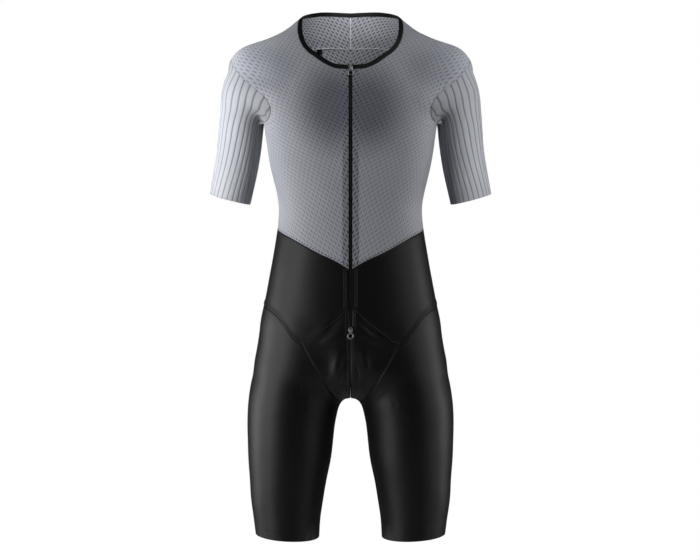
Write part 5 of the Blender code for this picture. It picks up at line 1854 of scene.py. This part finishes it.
# ---- the suit's cloth
@dataclass
class Cloth:
    """All the panels, cut as the solids are."""

    cut: Cut = field(default_factory=Cut)
    each: int = field(default_factory=lambda: 8)
    each_plain: int = field(default_factory=lambda: 6)
    rib_reads: tuple[float, ...] = (0.0, 0.05, 0.12, 0.25, 0.5, 0.75, 0.88, 0.95)

    def read(self, patch: Patch, each: int) -> Reading:
        """The patch read with so many places in each coarse cell."""
        rows, columns = patch.grid.shape[0] - 1, patch.grid.shape[1] - 1
        return patch.read(places(rows, each), places(columns, each))

    def pair(self, node: str, surface: Reading, kind: type[ClothPanel], sewn_to: Sequence[str],
             **more: object) -> None:
        """Builds a panel for the wearer's left and its mirror image for the right.

        Args:
            node: The node's name without its side.
            surface: The left panel's surface.
            kind: The panel's class.
            sewn_to: What it is sewn to, without sides.
            more: The panel's other sizes.
        """
        for side, reading in zip(Side, (surface, surface.mirrored())):
            beside = tuple(name if name == "back" else side.named(name) for name in sewn_to)
            kind(node=side.named(node), surface=reading, sewn_to=beside, **more).build()

    def build(self) -> None:
        """Reads and builds each panel."""
        cut, middle = self.cut, math.pi / 2
        sewn, open_, lapped = EdgeKind.SEWN, EdgeKind.OPEN, EdgeKind.LAPPED
        front = Patch([cut["waist_front"]], [cut["neck_front"], cut["shoulder"]], [cut["zip_upper"]],
                      [cut["side"], cut["hole_front"]], TRUNK, (middle, middle, middle, middle + 1))
        self.pair("front", self.read(front, self.each), FrontPanel, ("waist", "yoke", "sleeve", "back"),
                  finish=FRONT_KNIT, flat=(0.25, 0.47), area=0.0770, edges=(sewn, sewn, open_, sewn))
        yoke = Patch([cut["yoke"]], [cut["neck_back<"], cut["shoulder"]], [cut["yoke_centre"]],
                     [cut["hole_yoke<"]], TRUNK, (-middle,) * 4)
        self.pair("yoke", self.read(yoke, self.each_plain), ClothPanel, ("front", "sleeve", "back"),
                  finish=BACK_KNIT, flat=(0.25, 0.12), area=0.0139, edges=(sewn,) * 4)
        self.build_back(sewn)
        waist = Patch([cut["inset_top"], cut["hip_front"], cut["hip_back"]],
                      [cut["waist_front"], cut["waist_back"]], [cut["zip_waist"]], [cut["back_waist"]],
                      TRUNK, (middle, middle, middle, 3 * middle))
        self.pair("waist", self.read(waist, self.each_plain), ClothPanel, ("front", "leg", "inset", "back"),
                  finish=BLACK, flat=(0.40, 0.19), area=0.0512, edges=(lapped, sewn, open_, sewn),
                  groove_deep=BLACK_GROOVE)
        inset = Patch([cut["crotch_cross"]], [cut["inset_top"]], [cut["inset_centre<"]], [cut["inset_side<"]])
        self.pair("inset", self.read(inset, self.each_plain), ClothPanel, ("waist", "leg"),
                  finish=BLACK, flat=(0.09, 0.19), area=0.0103, edges=(sewn,) * 4, groove_deep=BLACK_GROOVE)
        leg = Patch([cut["hem"]], [cut["hip_front"], cut["hip_back"]], [cut["inseam<"], cut["inset_side<"]],
                    [cut["inseam<"], cut["crotch_bends<"], cut["seat<"]], LEG,
                    (0.0, middle, 0.0, 4 * middle))
        self.pair("leg", self.read(leg, self.each), ClothPanel, ("waist", "inset"),
                  finish=BLACK, flat=(0.54, 0.46), area=0.1830, edges=(open_, sewn, sewn, sewn),
                  groove_deep=BLACK_GROOVE)
        self.build_sleeves(sewn, open_)

    def build_back(self, sewn: EdgeKind) -> None:
        """The back, read as a half and mirrored into one piece.

        Args:
            sewn: How its edges end.
        """
        cut, start = self.cut, -math.pi / 2
        half = Patch([cut["waist_back<"]], [cut["yoke"]], [cut["spine"]], [cut["side"], cut["hole_back<"]],
                     TRUNK, (start,) * 4)
        left = self.read(half, self.each_plain)
        right = left.mirrored()
        both = [np.concatenate([getattr(right, name)[:, ::-1], getattr(left, name)[:, 1:]], axis=1)
                for name in ("points", "ways", "low", "high")]
        width = left.left[:, -1:]
        across = np.concatenate([width - left.left[:, ::-1], width + left.left[:, 1:]], axis=1)
        whole = Reading(*both, across, 2 * width - across)
        ClothPanel(node="back", surface=whole, finish=BACK_KNIT, flat=(0.44, 0.38), area=0.1160,
                   edges=(sewn,) * 4, sewn_to=("front_left", "front_right", "waist_left", "waist_right")).build()

    def build_sleeves(self, sewn: EdgeKind, open_: EdgeKind) -> None:
        """Both sleeves, read at fixed places across each rib.

        Args:
            sewn: How the armhole and the seam under the arm end.
            open_: How the cuff ends.
        """
        grid = self.cut.sleeve()
        under = grid[:, 0].copy()
        patch = Patch([self.cut["hole_front"], self.cut["hole_yoke"], self.cut["hole_back"]],
                      [self.cut["cuff"]], [under], [under], grid=grid)
        ribs = grid.shape[1] - 1
        turns = (np.arange(ribs)[:, None] + np.array(self.rib_reads)[None]).ravel()
        turns = np.append(turns, ribs)
        surface = patch.read(places(grid.shape[0] - 1, self.each), turns)
        self.pair("sleeve", surface, SleevePanel, ("front", "back"), turns=turns, finish=RIBBED,
                  flat=(0.29, 0.26), area=0.0586, edges=(sewn, open_, sewn, sewn))


# ---- neck binding
@dataclass
class NeckBinding:
    """The black elastic band round the neckline, folded over the cloth's edge.

    Its profile is a rounded slab: across = 0.5 + 0.5 c, deep = 0.5 s, with c and s the cosine and sine of an
    angle, each raised to the power 0.45 to square it, and it is carried along the neckline.
    """

    wide: float = 0.0085
    thick: float = 0.0026
    proud: float = 0.0004
    corners: int = 20
    each: int = 8

    def build(self, cut: Cut) -> None:
        """Makes the band from one side of the zip to the other.

        Args:
            cut: The seams.
        """
        at = np.linspace(0, NECK_FRONT + NECK_BACK, (NECK_FRONT + NECK_BACK) * self.each + 1)
        half = Patch.chain([Patch.joined([cut["neck_front"], cut["neck_back"]])], at)
        half[-1, 0] = 0.0
        seam = np.concatenate([half * MIRROR, half[-2::-1]])
        ways = FORM.outward(seam)
        up = unit(np.cross(unit(np.gradient(seam, axis=0)), ways))
        up = up * np.sign(up[:, 2:3])
        foot = seam + up * SEAM
        top = FORM.settle(foot + up * self.wide)
        top_ways = FORM.outward(top)
        across, deep = squared(round_turn(self.corners), 0.45)
        across = 0.5 + 0.5 * across
        deep = self.proud - self.thick / 2 + self.thick / 2 * deep
        share = across[None, :, None]
        out = unit(ways[:, None] * (1 - share) + top_ways[:, None] * share)
        rings = foot[:, None] * (1 - share) + top[:, None] * share + out * deep[None, :, None]
        points, faces = swept(rings)
        piece = made("neck_binding_band", points, faced(points, faces), TAPE, node="neck_binding")
        LOG.info("%s: %d faces", piece.name, len(faces))


# ---- zip
@dataclass
class ZipHalf:
    """One side of the zip: a woven tape behind the panels, and the coil's teeth in the slot."""

    side: Side
    reach: float = 0.0140
    back: float = 0.0024
    top: float = -0.0721
    pitch: float = 0.0017
    tooth: float = 0.00045
    tooth_sunk: float = 0.0004
    toothless: float = 0.0040
    thinnest: float = 0.0015
    thick: float = 0.0009
    stations: int = 300

    def tape(self) -> tuple[Array, list]:
        """The tape: a strip with a rounded inner edge that lies just under the form in the slot.

        Returns:
            Its corners and its faces.
        """
        heights = np.linspace(ZIP_END, self.top, self.stations)
        offsets = (0.0002, 0.0009, ZIP_HALF - SEAM, ZIP_HALF + 0.001, self.reach)
        depths = (0.0012, 0.0006, 0.0007, self.back, self.back)
        rails = []
        for x, depth in zip(offsets, depths):
            points = FORM.front(x, heights)
            rails.append(points - FORM.outward(points) * depth)
        for x, depth in zip(reversed(offsets), reversed(depths)):
            points = FORM.front(x, heights)
            rails.append(points - FORM.outward(points) * (max(depth, self.thinnest) + self.thick))
        return swept(np.stack(rails, axis=1) * (self.side.value, 1, 1))

    def teeth(self) -> tuple[Array, Array]:
        """The coil: a small rounded bar for each turn, from the middle outwards, slanting a little.

        Returns:
            Their corners and their faces.
        """
        heights = np.arange(ZIP_END + self.pitch, self.top - self.toothless, self.pitch)
        heights = heights + (self.pitch / 2 if self.side is Side.RIGHT else 0.0)
        points = FORM.front(0.0, heights)
        out = FORM.outward(points)
        across = np.broadcast_to(np.array((float(self.side.value), 0.0, 0.0)), points.shape)
        up = np.cross(out, across)
        reach = np.array((-0.0003, 0.0001, 0.0009, 0.0014))
        thick = np.array((0.3, 1.0, 0.8, 0.2)) * self.tooth
        shape = small_bar(reach, thick, 6) - (0.0, 0.0, self.tooth_sunk)
        return repeated(shape, quads(4, 6, closed=True), points, across, up, out)

    def build(self) -> None:
        """Makes the tape and the coil."""
        points, faces = self.tape()
        made(self.side.named("zip_tape"), points, faced(points, faces), TAPE, node=self.side.named("zip"))
        points, faces = self.teeth()
        made(self.side.named("zip_coil"), points, faced(points, faces), COIL)
        LOG.info("%s: %d corners", self.side.named("zip_coil"), len(points))


# ---- stitching and edges
@dataclass(frozen=True)
class Row:
    """A row of stitches beside seams that follow each other: how far to their upper or inner side, and how high."""

    seams: tuple[str, ...]
    aside: float
    lift: float = 0.0


BLACK_ROWS = (
    Row(("waist_front", "waist_back"), -0.0019), Row(("inset_top",), 0.0018, 0.00085),
    Row(("inset_top",), 0.0046, 0.00065), Row(("hip_front", "hip_back"), 0.0019),
    Row(("hip_front", "hip_back"), -0.0019), Row(("inset_side",), 0.0018), Row(("inset_side",), -0.0018),
    Row(("inset_centre",), 0.0017),
    Row(("inset_centre",), 0.0060), Row(("seat",), 0.0018), Row(("back_waist",), -0.0018),
    Row(("inseam",), 0.0018), Row(("inseam",), -0.0018), Row(("hem",), 0.0150), Row(("hem",), 0.0175),
)
GREY_ROWS = (
    Row(("shoulder",), 0.0018), Row(("shoulder",), -0.0018), Row(("yoke",), 0.0018), Row(("yoke",), -0.0018),
    Row(("yoke_centre",), -0.0017), Row(("side",), 0.0018), Row(("side",), -0.0018),
    Row(("hole_front", "hole_yoke", "hole_back"), 0.0020),
)


def beside(line: Array, aside: float, lift: float = 0.0) -> tuple[Array, Array]:
    """A line moved sideways over the cloth.

    Args:
        line: Points on the form.
        aside: How far, towards cross(outward, forward).
        lift: How far it then stands out of the cloth.

    Returns:
        The moved points and the directions straight out of them.
    """
    side = unit(np.cross(FORM.outward(line), np.gradient(line, axis=0)))
    moved = FORM.settle(line + side * aside, rounds=4)
    ways = FORM.outward(moved)
    return moved + ways * (FOLDS.rise(moved) + Slack().at(moved) + lift)[:, None], ways


def tube(line: Array, ways: Array, radius: float, corners: int = 8) -> tuple[Array, list]:
    """A round cord along a line, with closed ends that taper.

    Args:
        line: The line.
        ways: Directions out of the cloth along it.
        radius: The cord's radius.
        corners: How many corners it has round.

    Returns:
        Its corners and its faces.
    """
    side = unit(np.cross(ways, np.gradient(line, axis=0)))
    turn = round_turn(corners)
    taper = np.ones(len(line))
    taper[[0, -1]] = 0.4
    ring = np.cos(turn)[None, :, None] * side[:, None] + np.sin(turn)[None, :, None] * ways[:, None]
    return swept(line[:, None] + ring * radius * taper[:, None, None])


@dataclass(frozen=True)
class Stitching:
    """Rows of stitches, each a small bar with tapered ends that lies half sunk in the cloth."""

    name: str
    rows: tuple[Row, ...]
    finish: Finish
    long: float = 0.0024
    pitch: float = 0.0031
    bar: float = 0.00026

    def shape(self) -> Array:
        """One stitch: four rings of five corners along its length."""
        along, thick = np.array((-0.5, -0.34, 0.34, 0.5)), np.array((0.35, 1.0, 1.0, 0.35))
        return small_bar(along * self.long, thick * self.bar, 5)

    def row(self, cut: Cut, row: Row) -> tuple[Array, Array]:
        """Corners and faces of one row, each stitch centred between two evenly spaced points.

        Args:
            cut: The seams.
            row: Where the row lies.

        Returns:
            The row's corners and faces.
        """
        line = evenly(Patch.joined([cut[name] for name in row.seams]), 400)
        count = max(3, int(run_of(line)[-1] / self.pitch))
        points, _ = beside(evenly(line, count), row.aside, row.lift)
        ways = FORM.outward(points)
        middle, out = (points[1:] + points[:-1]) / 2, unit(ways[1:] + ways[:-1])
        along = unit(points[1:] - points[:-1])
        return repeated(self.shape(), quads(4, 5, closed=True), middle, along, np.cross(out, along), out)

    def build(self, cut: Cut) -> None:
        """Makes the stitches of both halves.

        Args:
            cut: The seams.
        """
        made_rows = [self.row(cut, row) for row in self.rows]
        starts = np.cumsum([0] + [len(points) for points, _ in made_rows[:-1]])
        points = np.concatenate([points for points, _ in made_rows])
        faces = np.concatenate([faces + start for (_, faces), start in zip(made_rows, starts)])
        made_both(self.name, points, faces, self.finish)
        LOG.info("%s: %d faces a side", self.name, len(faces))


@dataclass(frozen=True)
class Cord:
    """A thin cord along a seam: a panel's turned edge, or the ridge of a seam on the inside, lit by a painted
    highlight in its finish.
    """

    name: str
    seam: str
    finish: Finish
    radius: float = 0.0005
    aside: float = 0.0
    lift: float = 0.0

    def build(self, cut: Cut) -> None:
        """Makes the cord on both sides.

        Args:
            cut: The seams.
        """
        line, ways = beside(evenly(cut[self.seam], 60), self.aside, self.lift)
        points, faces = tube(line, ways, self.radius)
        made_both(self.name, points, faces, self.finish)


# Every cord here is lighter than the cloth under it: a painted highlight along a turned edge or a seam's ridge.
CORDS = (
    Cord("lap_edge", "inset_top", EDGE_HIGHLIGHT, aside=0.0004, lift=0.0007),
    Cord("placket_line", "zip_waist", EDGE_HIGHLIGHT, radius=0.0004, aside=-0.0046),
    Cord("placket_edge", "zip_waist", EDGE_HIGHLIGHT, radius=0.0004, aside=-0.0082),
    Cord("centre_strip_edge", "inset_centre", EDGE_HIGHLIGHT, radius=0.0004, aside=0.0047),
    # painted highlight along the seam ridges inside the back
    Cord("yoke_ridge", "yoke", RIDGE_HIGHLIGHT, radius=0.0007, aside=0.0006, lift=-0.0019),
    Cord("yoke_middle_ridge", "yoke_centre", RIDGE_HIGHLIGHT, radius=0.0007, aside=-0.0004, lift=-0.0019),
)


@dataclass(frozen=True)
class InnerTab:
    """The small tab inside the back: a folded piece of tape on the solid's eight corners, a little bulged."""

    reads: int = 13
    bulge: float = 0.00022

    def build(self) -> None:
        """Makes the tab."""
        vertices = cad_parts["inner_tab"].data.vertices
        found = np.empty(3 * len(vertices))
        vertices.foreach_get("co", found)
        corners = np.unique(found.reshape(-1, 3).round(6), axis=0)
        apart = np.linalg.norm(corners[:, None] - corners[None], axis=-1) + np.eye(len(corners))
        pairs = {tuple(sorted((one, int(other)))) for one, other in enumerate(apart.argmin(axis=1))}
        sides = np.array([sorted((corners[one], corners[other]), key=lambda point: point[1])
                          for one, other in pairs])
        sides = sides[np.argsort(sides[:, 0, 2])]
        low, high = (level[np.argsort(level[:, 0, 0])] for level in (sides[:2], sides[2:]))
        s = t = np.linspace(0, 1, self.reads)
        grids = []
        for face in (0, 1):
            rows = [level[0, face] + (level[1, face] - level[0, face]) * s[:, None] for level in (low, high)]
            grids.append(rows[0][None] * (1 - t)[:, None, None] + rows[1][None] * t[:, None, None])
        swell = self.bulge * (np.sin(math.pi * s)[None] * np.sin(math.pi * t)[:, None])[..., None]
        way = unit(grids[0] - grids[1])
        points, faces = wall(grids[0] + way * swell, grids[1] - way * swell, self.bulge)
        made("inner_tab_tape", points, faced(points, faces), TAPE, node="inner_tab")


# ---- sliders and pulls
@dataclass(frozen=True)
class Slider:
    """A zip slider with its bail and ring pull, in the places and sizes of the solids."""

    name: str
    height: float
    wide: float
    long: float
    neck: float
    ring: float
    lean: float
    floor: float = 0.0024
    gap: float = 0.0007
    bail_wide: float = 0.0020
    bail_bar: float = 0.0010
    bail_room: float = 0.0023
    bail_reach: float = 0.0018
    sunk: float = 0.0004
    thick: float = 0.0012
    ring_bar: float = 0.0021
    arm: float = 0.0010
    play: float = 0.0003
    arm_past: float = 0.0004
    axle: float = 0.0007
    brace: float = 0.0006

    def seat(self) -> tuple[Array, Array]:
        """Origin on the form, and rows across, up the zip and away from the cloth.

        Returns:
            The origin and the three rows.
        """
        point = FORM.front(0.0, [self.height])
        away = FORM.outward(point)[0]
        return point[0], np.stack([np.array((1.0, 0.0, 0.0)), np.cross(away, (1.0, 0.0, 0.0)), away])

    def plate(self) -> tuple[Array, list]:
        """The plate: a rounded outline in seven levels, drawn in at its upper and lower rim.

        Returns:
            Its corners and its faces.
        """
        x, y = squared(round_turn(40), 0.75, 0.70)
        x, y = x * self.wide / 2, y * self.long / 2
        x = x * (1 - 0.24 * climb(-y, 0.0, self.long / 2))
        levels = np.array((0.0, 0.12, 0.3, 0.7, 0.88, 0.96, 1.0))
        scale = np.array((0.90, 0.97, 1.0, 1.0, 0.97, 0.92, 0.84))
        z = self.gap + levels * (self.floor - self.gap)
        rings = np.stack([scale[:, None] * x, scale[:, None] * y, np.broadcast_to(z[:, None], (7, 40))], axis=-1)
        return swept(rings)

    def bail(self) -> tuple[Array, list]:
        """The bail: a flat rounded band that stands over the pull's eye like a bridge.

        Returns:
            Its corners and its faces.
        """
        y, z = squared(np.linspace(0, math.pi, 21), 0.6)
        y = -y * (self.bail_reach + self.bail_bar / 2)
        z = self.floor - self.sunk + z * (self.bail_room + self.sunk + self.bail_bar / 2)
        line = np.stack([np.zeros_like(y), y, z], axis=-1)
        forward = unit(np.gradient(line, axis=0))
        out = np.cross(forward, (1.0, 0.0, 0.0))
        wide, deep = squared(round_turn(12), 0.5, 0.7)
        across = wide[None, :, None] * np.array((self.bail_wide / 2, 0.0, 0.0))
        return swept(line[:, None] + across + deep[None, :, None] * out[:, None] * self.bail_bar / 2)

    def pull(self) -> list[tuple[Array, list]]:
        """The pull, flat in its own plane: a ring, two arms and the bar that runs under the bail.

        Returns:
            The corners and faces of each part.
        """
        eye, radius = self.bail_wide / 2 + self.play, self.ring - self.ring_bar / 2
        turn = np.linspace(0, 2 * math.pi, 49)
        across, level = squared(round_turn(12), 1.0, 0.6)
        reach, level = radius + across * self.ring_bar / 2, level * self.thick / 2
        x = reach[None] * np.sin(turn)[:, None]
        y = -self.neck - reach[None] * np.cos(turn)[:, None]
        parts = [swept(np.stack([x, y, np.broadcast_to(level, x.shape)], axis=-1), caps=False)]
        low = -self.neck + math.sqrt(max(radius**2 - (eye + self.arm / 2) ** 2, 0.0))
        for side in (-1, 1):
            middle = side * (eye + self.arm / 2)
            parts.append(self.bar((middle, low, 0.0), (middle, self.arm_past, 0.0), self.arm / 2))
        parts.append(self.bar((-eye - self.arm, 0.0, 0.0), (eye + self.arm, 0.0, 0.0), self.axle))
        over = low + self.brace
        parts.append(self.bar((-eye, over, 0.0), (eye, over, 0.0), self.brace))
        return parts

    def bar(self, start: Sequence[float], end: Sequence[float], half: float) -> tuple[Array, list]:
        """A rounded bar in the pull's plane, of the pull's thickness.

        Args:
            start: One end.
            end: The other end.
            half: Half its width.

        Returns:
            Its corners and its faces.
        """
        start, end = np.array(start), np.array(end)
        share = np.array((0.0, 0.06, 0.94, 1.0))
        size = np.array((0.7, 1.0, 1.0, 0.7))
        line = start + (end - start) * share[:, None]
        side = unit(np.cross((0.0, 0.0, 1.0), end - start))
        wide, deep = squared(round_turn(12), 0.6)
        ring = wide[:, None] * half * side + deep[:, None] * np.array((0.0, 0.0, self.thick / 2))
        return swept(line[:, None] + size[:, None, None] * ring[None])

    @staticmethod
    def joined(parts: list[tuple[Array, list]]) -> tuple[Array, list]:
        """Closed meshes as one, each with its faces outwards.

        Args:
            parts: The corners and faces of each mesh.

        Returns:
            All corners and all faces.
        """
        points, faces, start = [], [], 0
        for corners, sides in parts:
            faces += [[start + corner for corner in face] for face in faced(corners, sides)]
            points.append(corners)
            start += len(corners)
        return np.concatenate(points), faces

    def build(self) -> None:
        """Makes the slider and its pull."""
        origin, axes = self.seat()
        points, faces = self.joined([self.plate(), self.bail()])
        made(f"{self.name}_slider_metal", origin + points @ axes, faces, METAL, node=f"{self.name}_slider")
        points, faces = self.joined(self.pull())
        turn = math.radians(self.lean)
        lean = np.array(((1, 0, 0), (0, math.cos(turn), math.sin(turn)), (0, -math.sin(turn), math.cos(turn))))
        hinge = origin + axes[2] * (self.floor + self.bail_room / 2)
        pull = f"{self.name}_pull"
        made(f"{pull}_metal", hinge + points @ lean @ axes, faces, METAL, body=pull, node=pull)


SLIDERS = (
    Slider("top", -0.0705, 0.0084, 0.0095, 0.0090, 0.0056, 3.0),
    Slider("bottom", -0.5425, 0.0088, 0.0110, 0.0110, 0.0058, -5.16),
)


# ---- studio
@dataclass(frozen=True)
class Softbox:
    """A tall soft light that faces the suit."""

    name: str
    place: tuple[float, float, float]
    wide: float
    high: float
    power: float
    aim: tuple[float, float, float] | None = None
    spread: float = 180.0

    def build(self, target: tuple[float, float, float]) -> None:
        """Makes the light, facing its own aim or else the target, and unseen itself.

        Args:
            target: What it faces if it has no aim.
        """
        light = bpy.data.lights.new(self.name, "AREA")
        light.shape, light.size, light.size_y, light.energy = "RECTANGLE", self.wide, self.high, self.power
        light.spread = math.radians(self.spread)
        lamp = bpy.data.objects.new(self.name, light)
        bpy.context.scene.collection.objects.link(lamp)
        place = np.array(self.place)
        back = unit(place - np.array(self.aim or target))
        across = unit(np.cross((0.0, 0.0, 1.0), back))
        matrix = np.eye(4)
        matrix[:3, 0], matrix[:3, 1], matrix[:3, 2], matrix[:3, 3] = across, np.cross(back, across), back, place
        lamp.matrix_world = Matrix(matrix.tolist())
        lamp.visible_camera = False


@dataclass(frozen=True)
class Studio:
    """Camera, lights, surroundings and floor."""

    camera_place: tuple[float, float, float] = (-0.00094, -2.6, -0.38)
    tilt: float = math.atan(40 * 1.88e-3 / 2.6)
    lens: float = 71.12
    floor_height: float = -1.50
    floor_reach: float = 1.90
    target: tuple[float, float, float] = (0.0, 0.0, -0.42)
    lights: tuple[Softbox, ...] = (
        Softbox("left_strip", (-1.70, 0.30, -0.78), 0.7, 1.1, 1.6, aim=(-0.10, 0.0, -0.74), spread=55.0),
        Softbox("left_softbox", (-1.54, -0.84, -0.38), 0.7, 2.1, 20.0),
        Softbox("right_strip", (1.72, 0.22, -0.72), 0.7, 1.2, 1.2, aim=(0.10, 0.0, -0.68), spread=60.0),
        Softbox("right_softbox", (1.56, -0.80, -0.42), 0.7, 2.2, 5.0),
        Softbox("top_softbox", (0.86, -0.72, 0.92), 0.8, 0.8, 6.5),
        Softbox("left_gridded", (-0.90, -0.74, -0.15), 0.10, 0.42, 0.37, aim=(-0.238, 0.0, -0.17), spread=15.0),
        Softbox("right_gridded", (0.86, -0.78, -0.15), 0.10, 0.42, 0.17, aim=(0.240, 0.0, -0.17), spread=15.0),
        Softbox("neck_fill", (0.0, -0.030, 0.030), 0.06, 0.06, 0.065, aim=(0.0, 0.090, 0.012)),
    )

    def build(self) -> None:
        """Makes the studio."""
        scene = bpy.context.scene
        scene.view_settings.view_transform = "Standard"
        lens = bpy.data.cameras.new("camera")
        lens.lens, lens.sensor_width, lens.clip_start = self.lens, 36.0, 0.05
        camera = bpy.data.objects.new("camera", lens)
        scene.collection.objects.link(camera)
        camera.location = self.camera_place
        camera.rotation_euler = (math.pi / 2 - self.tilt, 0, 0)
        scene.camera = camera
        for light in self.lights:
            light.build(self.target)
        self.surroundings()
        self.floor()

    def surroundings(self) -> None:
        """White behind the suit; as light, dim in front and above and brighter behind."""
        world = bpy.data.worlds.new("studio")
        bpy.context.scene.world = world
        world.use_nodes = True
        world.node_tree.nodes.clear()
        graph = Graph(world.node_tree)
        _, y, z = graph.parts(graph.add("ShaderNodeTexCoord").outputs["Generated"])
        strength = graph.step(y, -0.50, 0.90, 0.004, 0.06) * graph.step(z, 0.0, 0.9, 1.0, 0.45)
        glow = graph.fed("ShaderNodeBackground", (strength,), (1,))
        white = graph.fed("ShaderNodeBackground", ((1, 1, 1),))
        seen = graph.add("ShaderNodeLightPath").outputs["Is Camera Ray"]
        both = graph.fed("ShaderNodeMixShader", (seen, glow, white))
        graph.feed(graph.add("ShaderNodeOutputWorld").inputs[0], both)

    def floor(self) -> None:
        """A plain pale round floor, about a leg's length below the hems."""
        turn = round_turn(96)
        rim = np.stack([np.cos(turn), np.sin(turn), np.full_like(turn, self.floor_height)], axis=-1)
        rim[:, :2] *= self.floor_reach
        mesh = bpy.data.meshes.new("floor")
        mesh.from_pydata(rim.tolist(), [], [list(range(len(rim)))])
        pale = bpy.data.materials.new("floor_paint")
        pale.use_nodes = True
        pale.node_tree.nodes["Principled BSDF"].inputs["Base Color"].default_value = (0.85, 0.85, 0.85, 1)
        pale.node_tree.nodes["Principled BSDF"].inputs["Roughness"].default_value = 0.8
        mesh.materials.append(pale)
        floor = bpy.data.objects.new("floor", mesh)
        bpy.context.scene.collection.objects.link(floor)


def main() -> None:
    """Builds the studio and the suit."""
    logging.basicConfig(level=logging.INFO, format="%(name)s %(message)s")
    Studio().build()
    cloth = Cloth()
    cloth.build()
    NeckBinding().build(cloth.cut)
    for side in Side:
        ZipHalf(side).build()
    Stitching("stitches_black", BLACK_ROWS, BLACK_THREAD).build(cloth.cut)
    Stitching("stitches_grey", GREY_ROWS, GREY_THREAD).build(cloth.cut)
    for cord in CORDS:
        cord.build(cloth.cut)
    InnerTab().build()
    for slider in SLIDERS:
        slider.build()


if __name__ == "__main__":
    main()
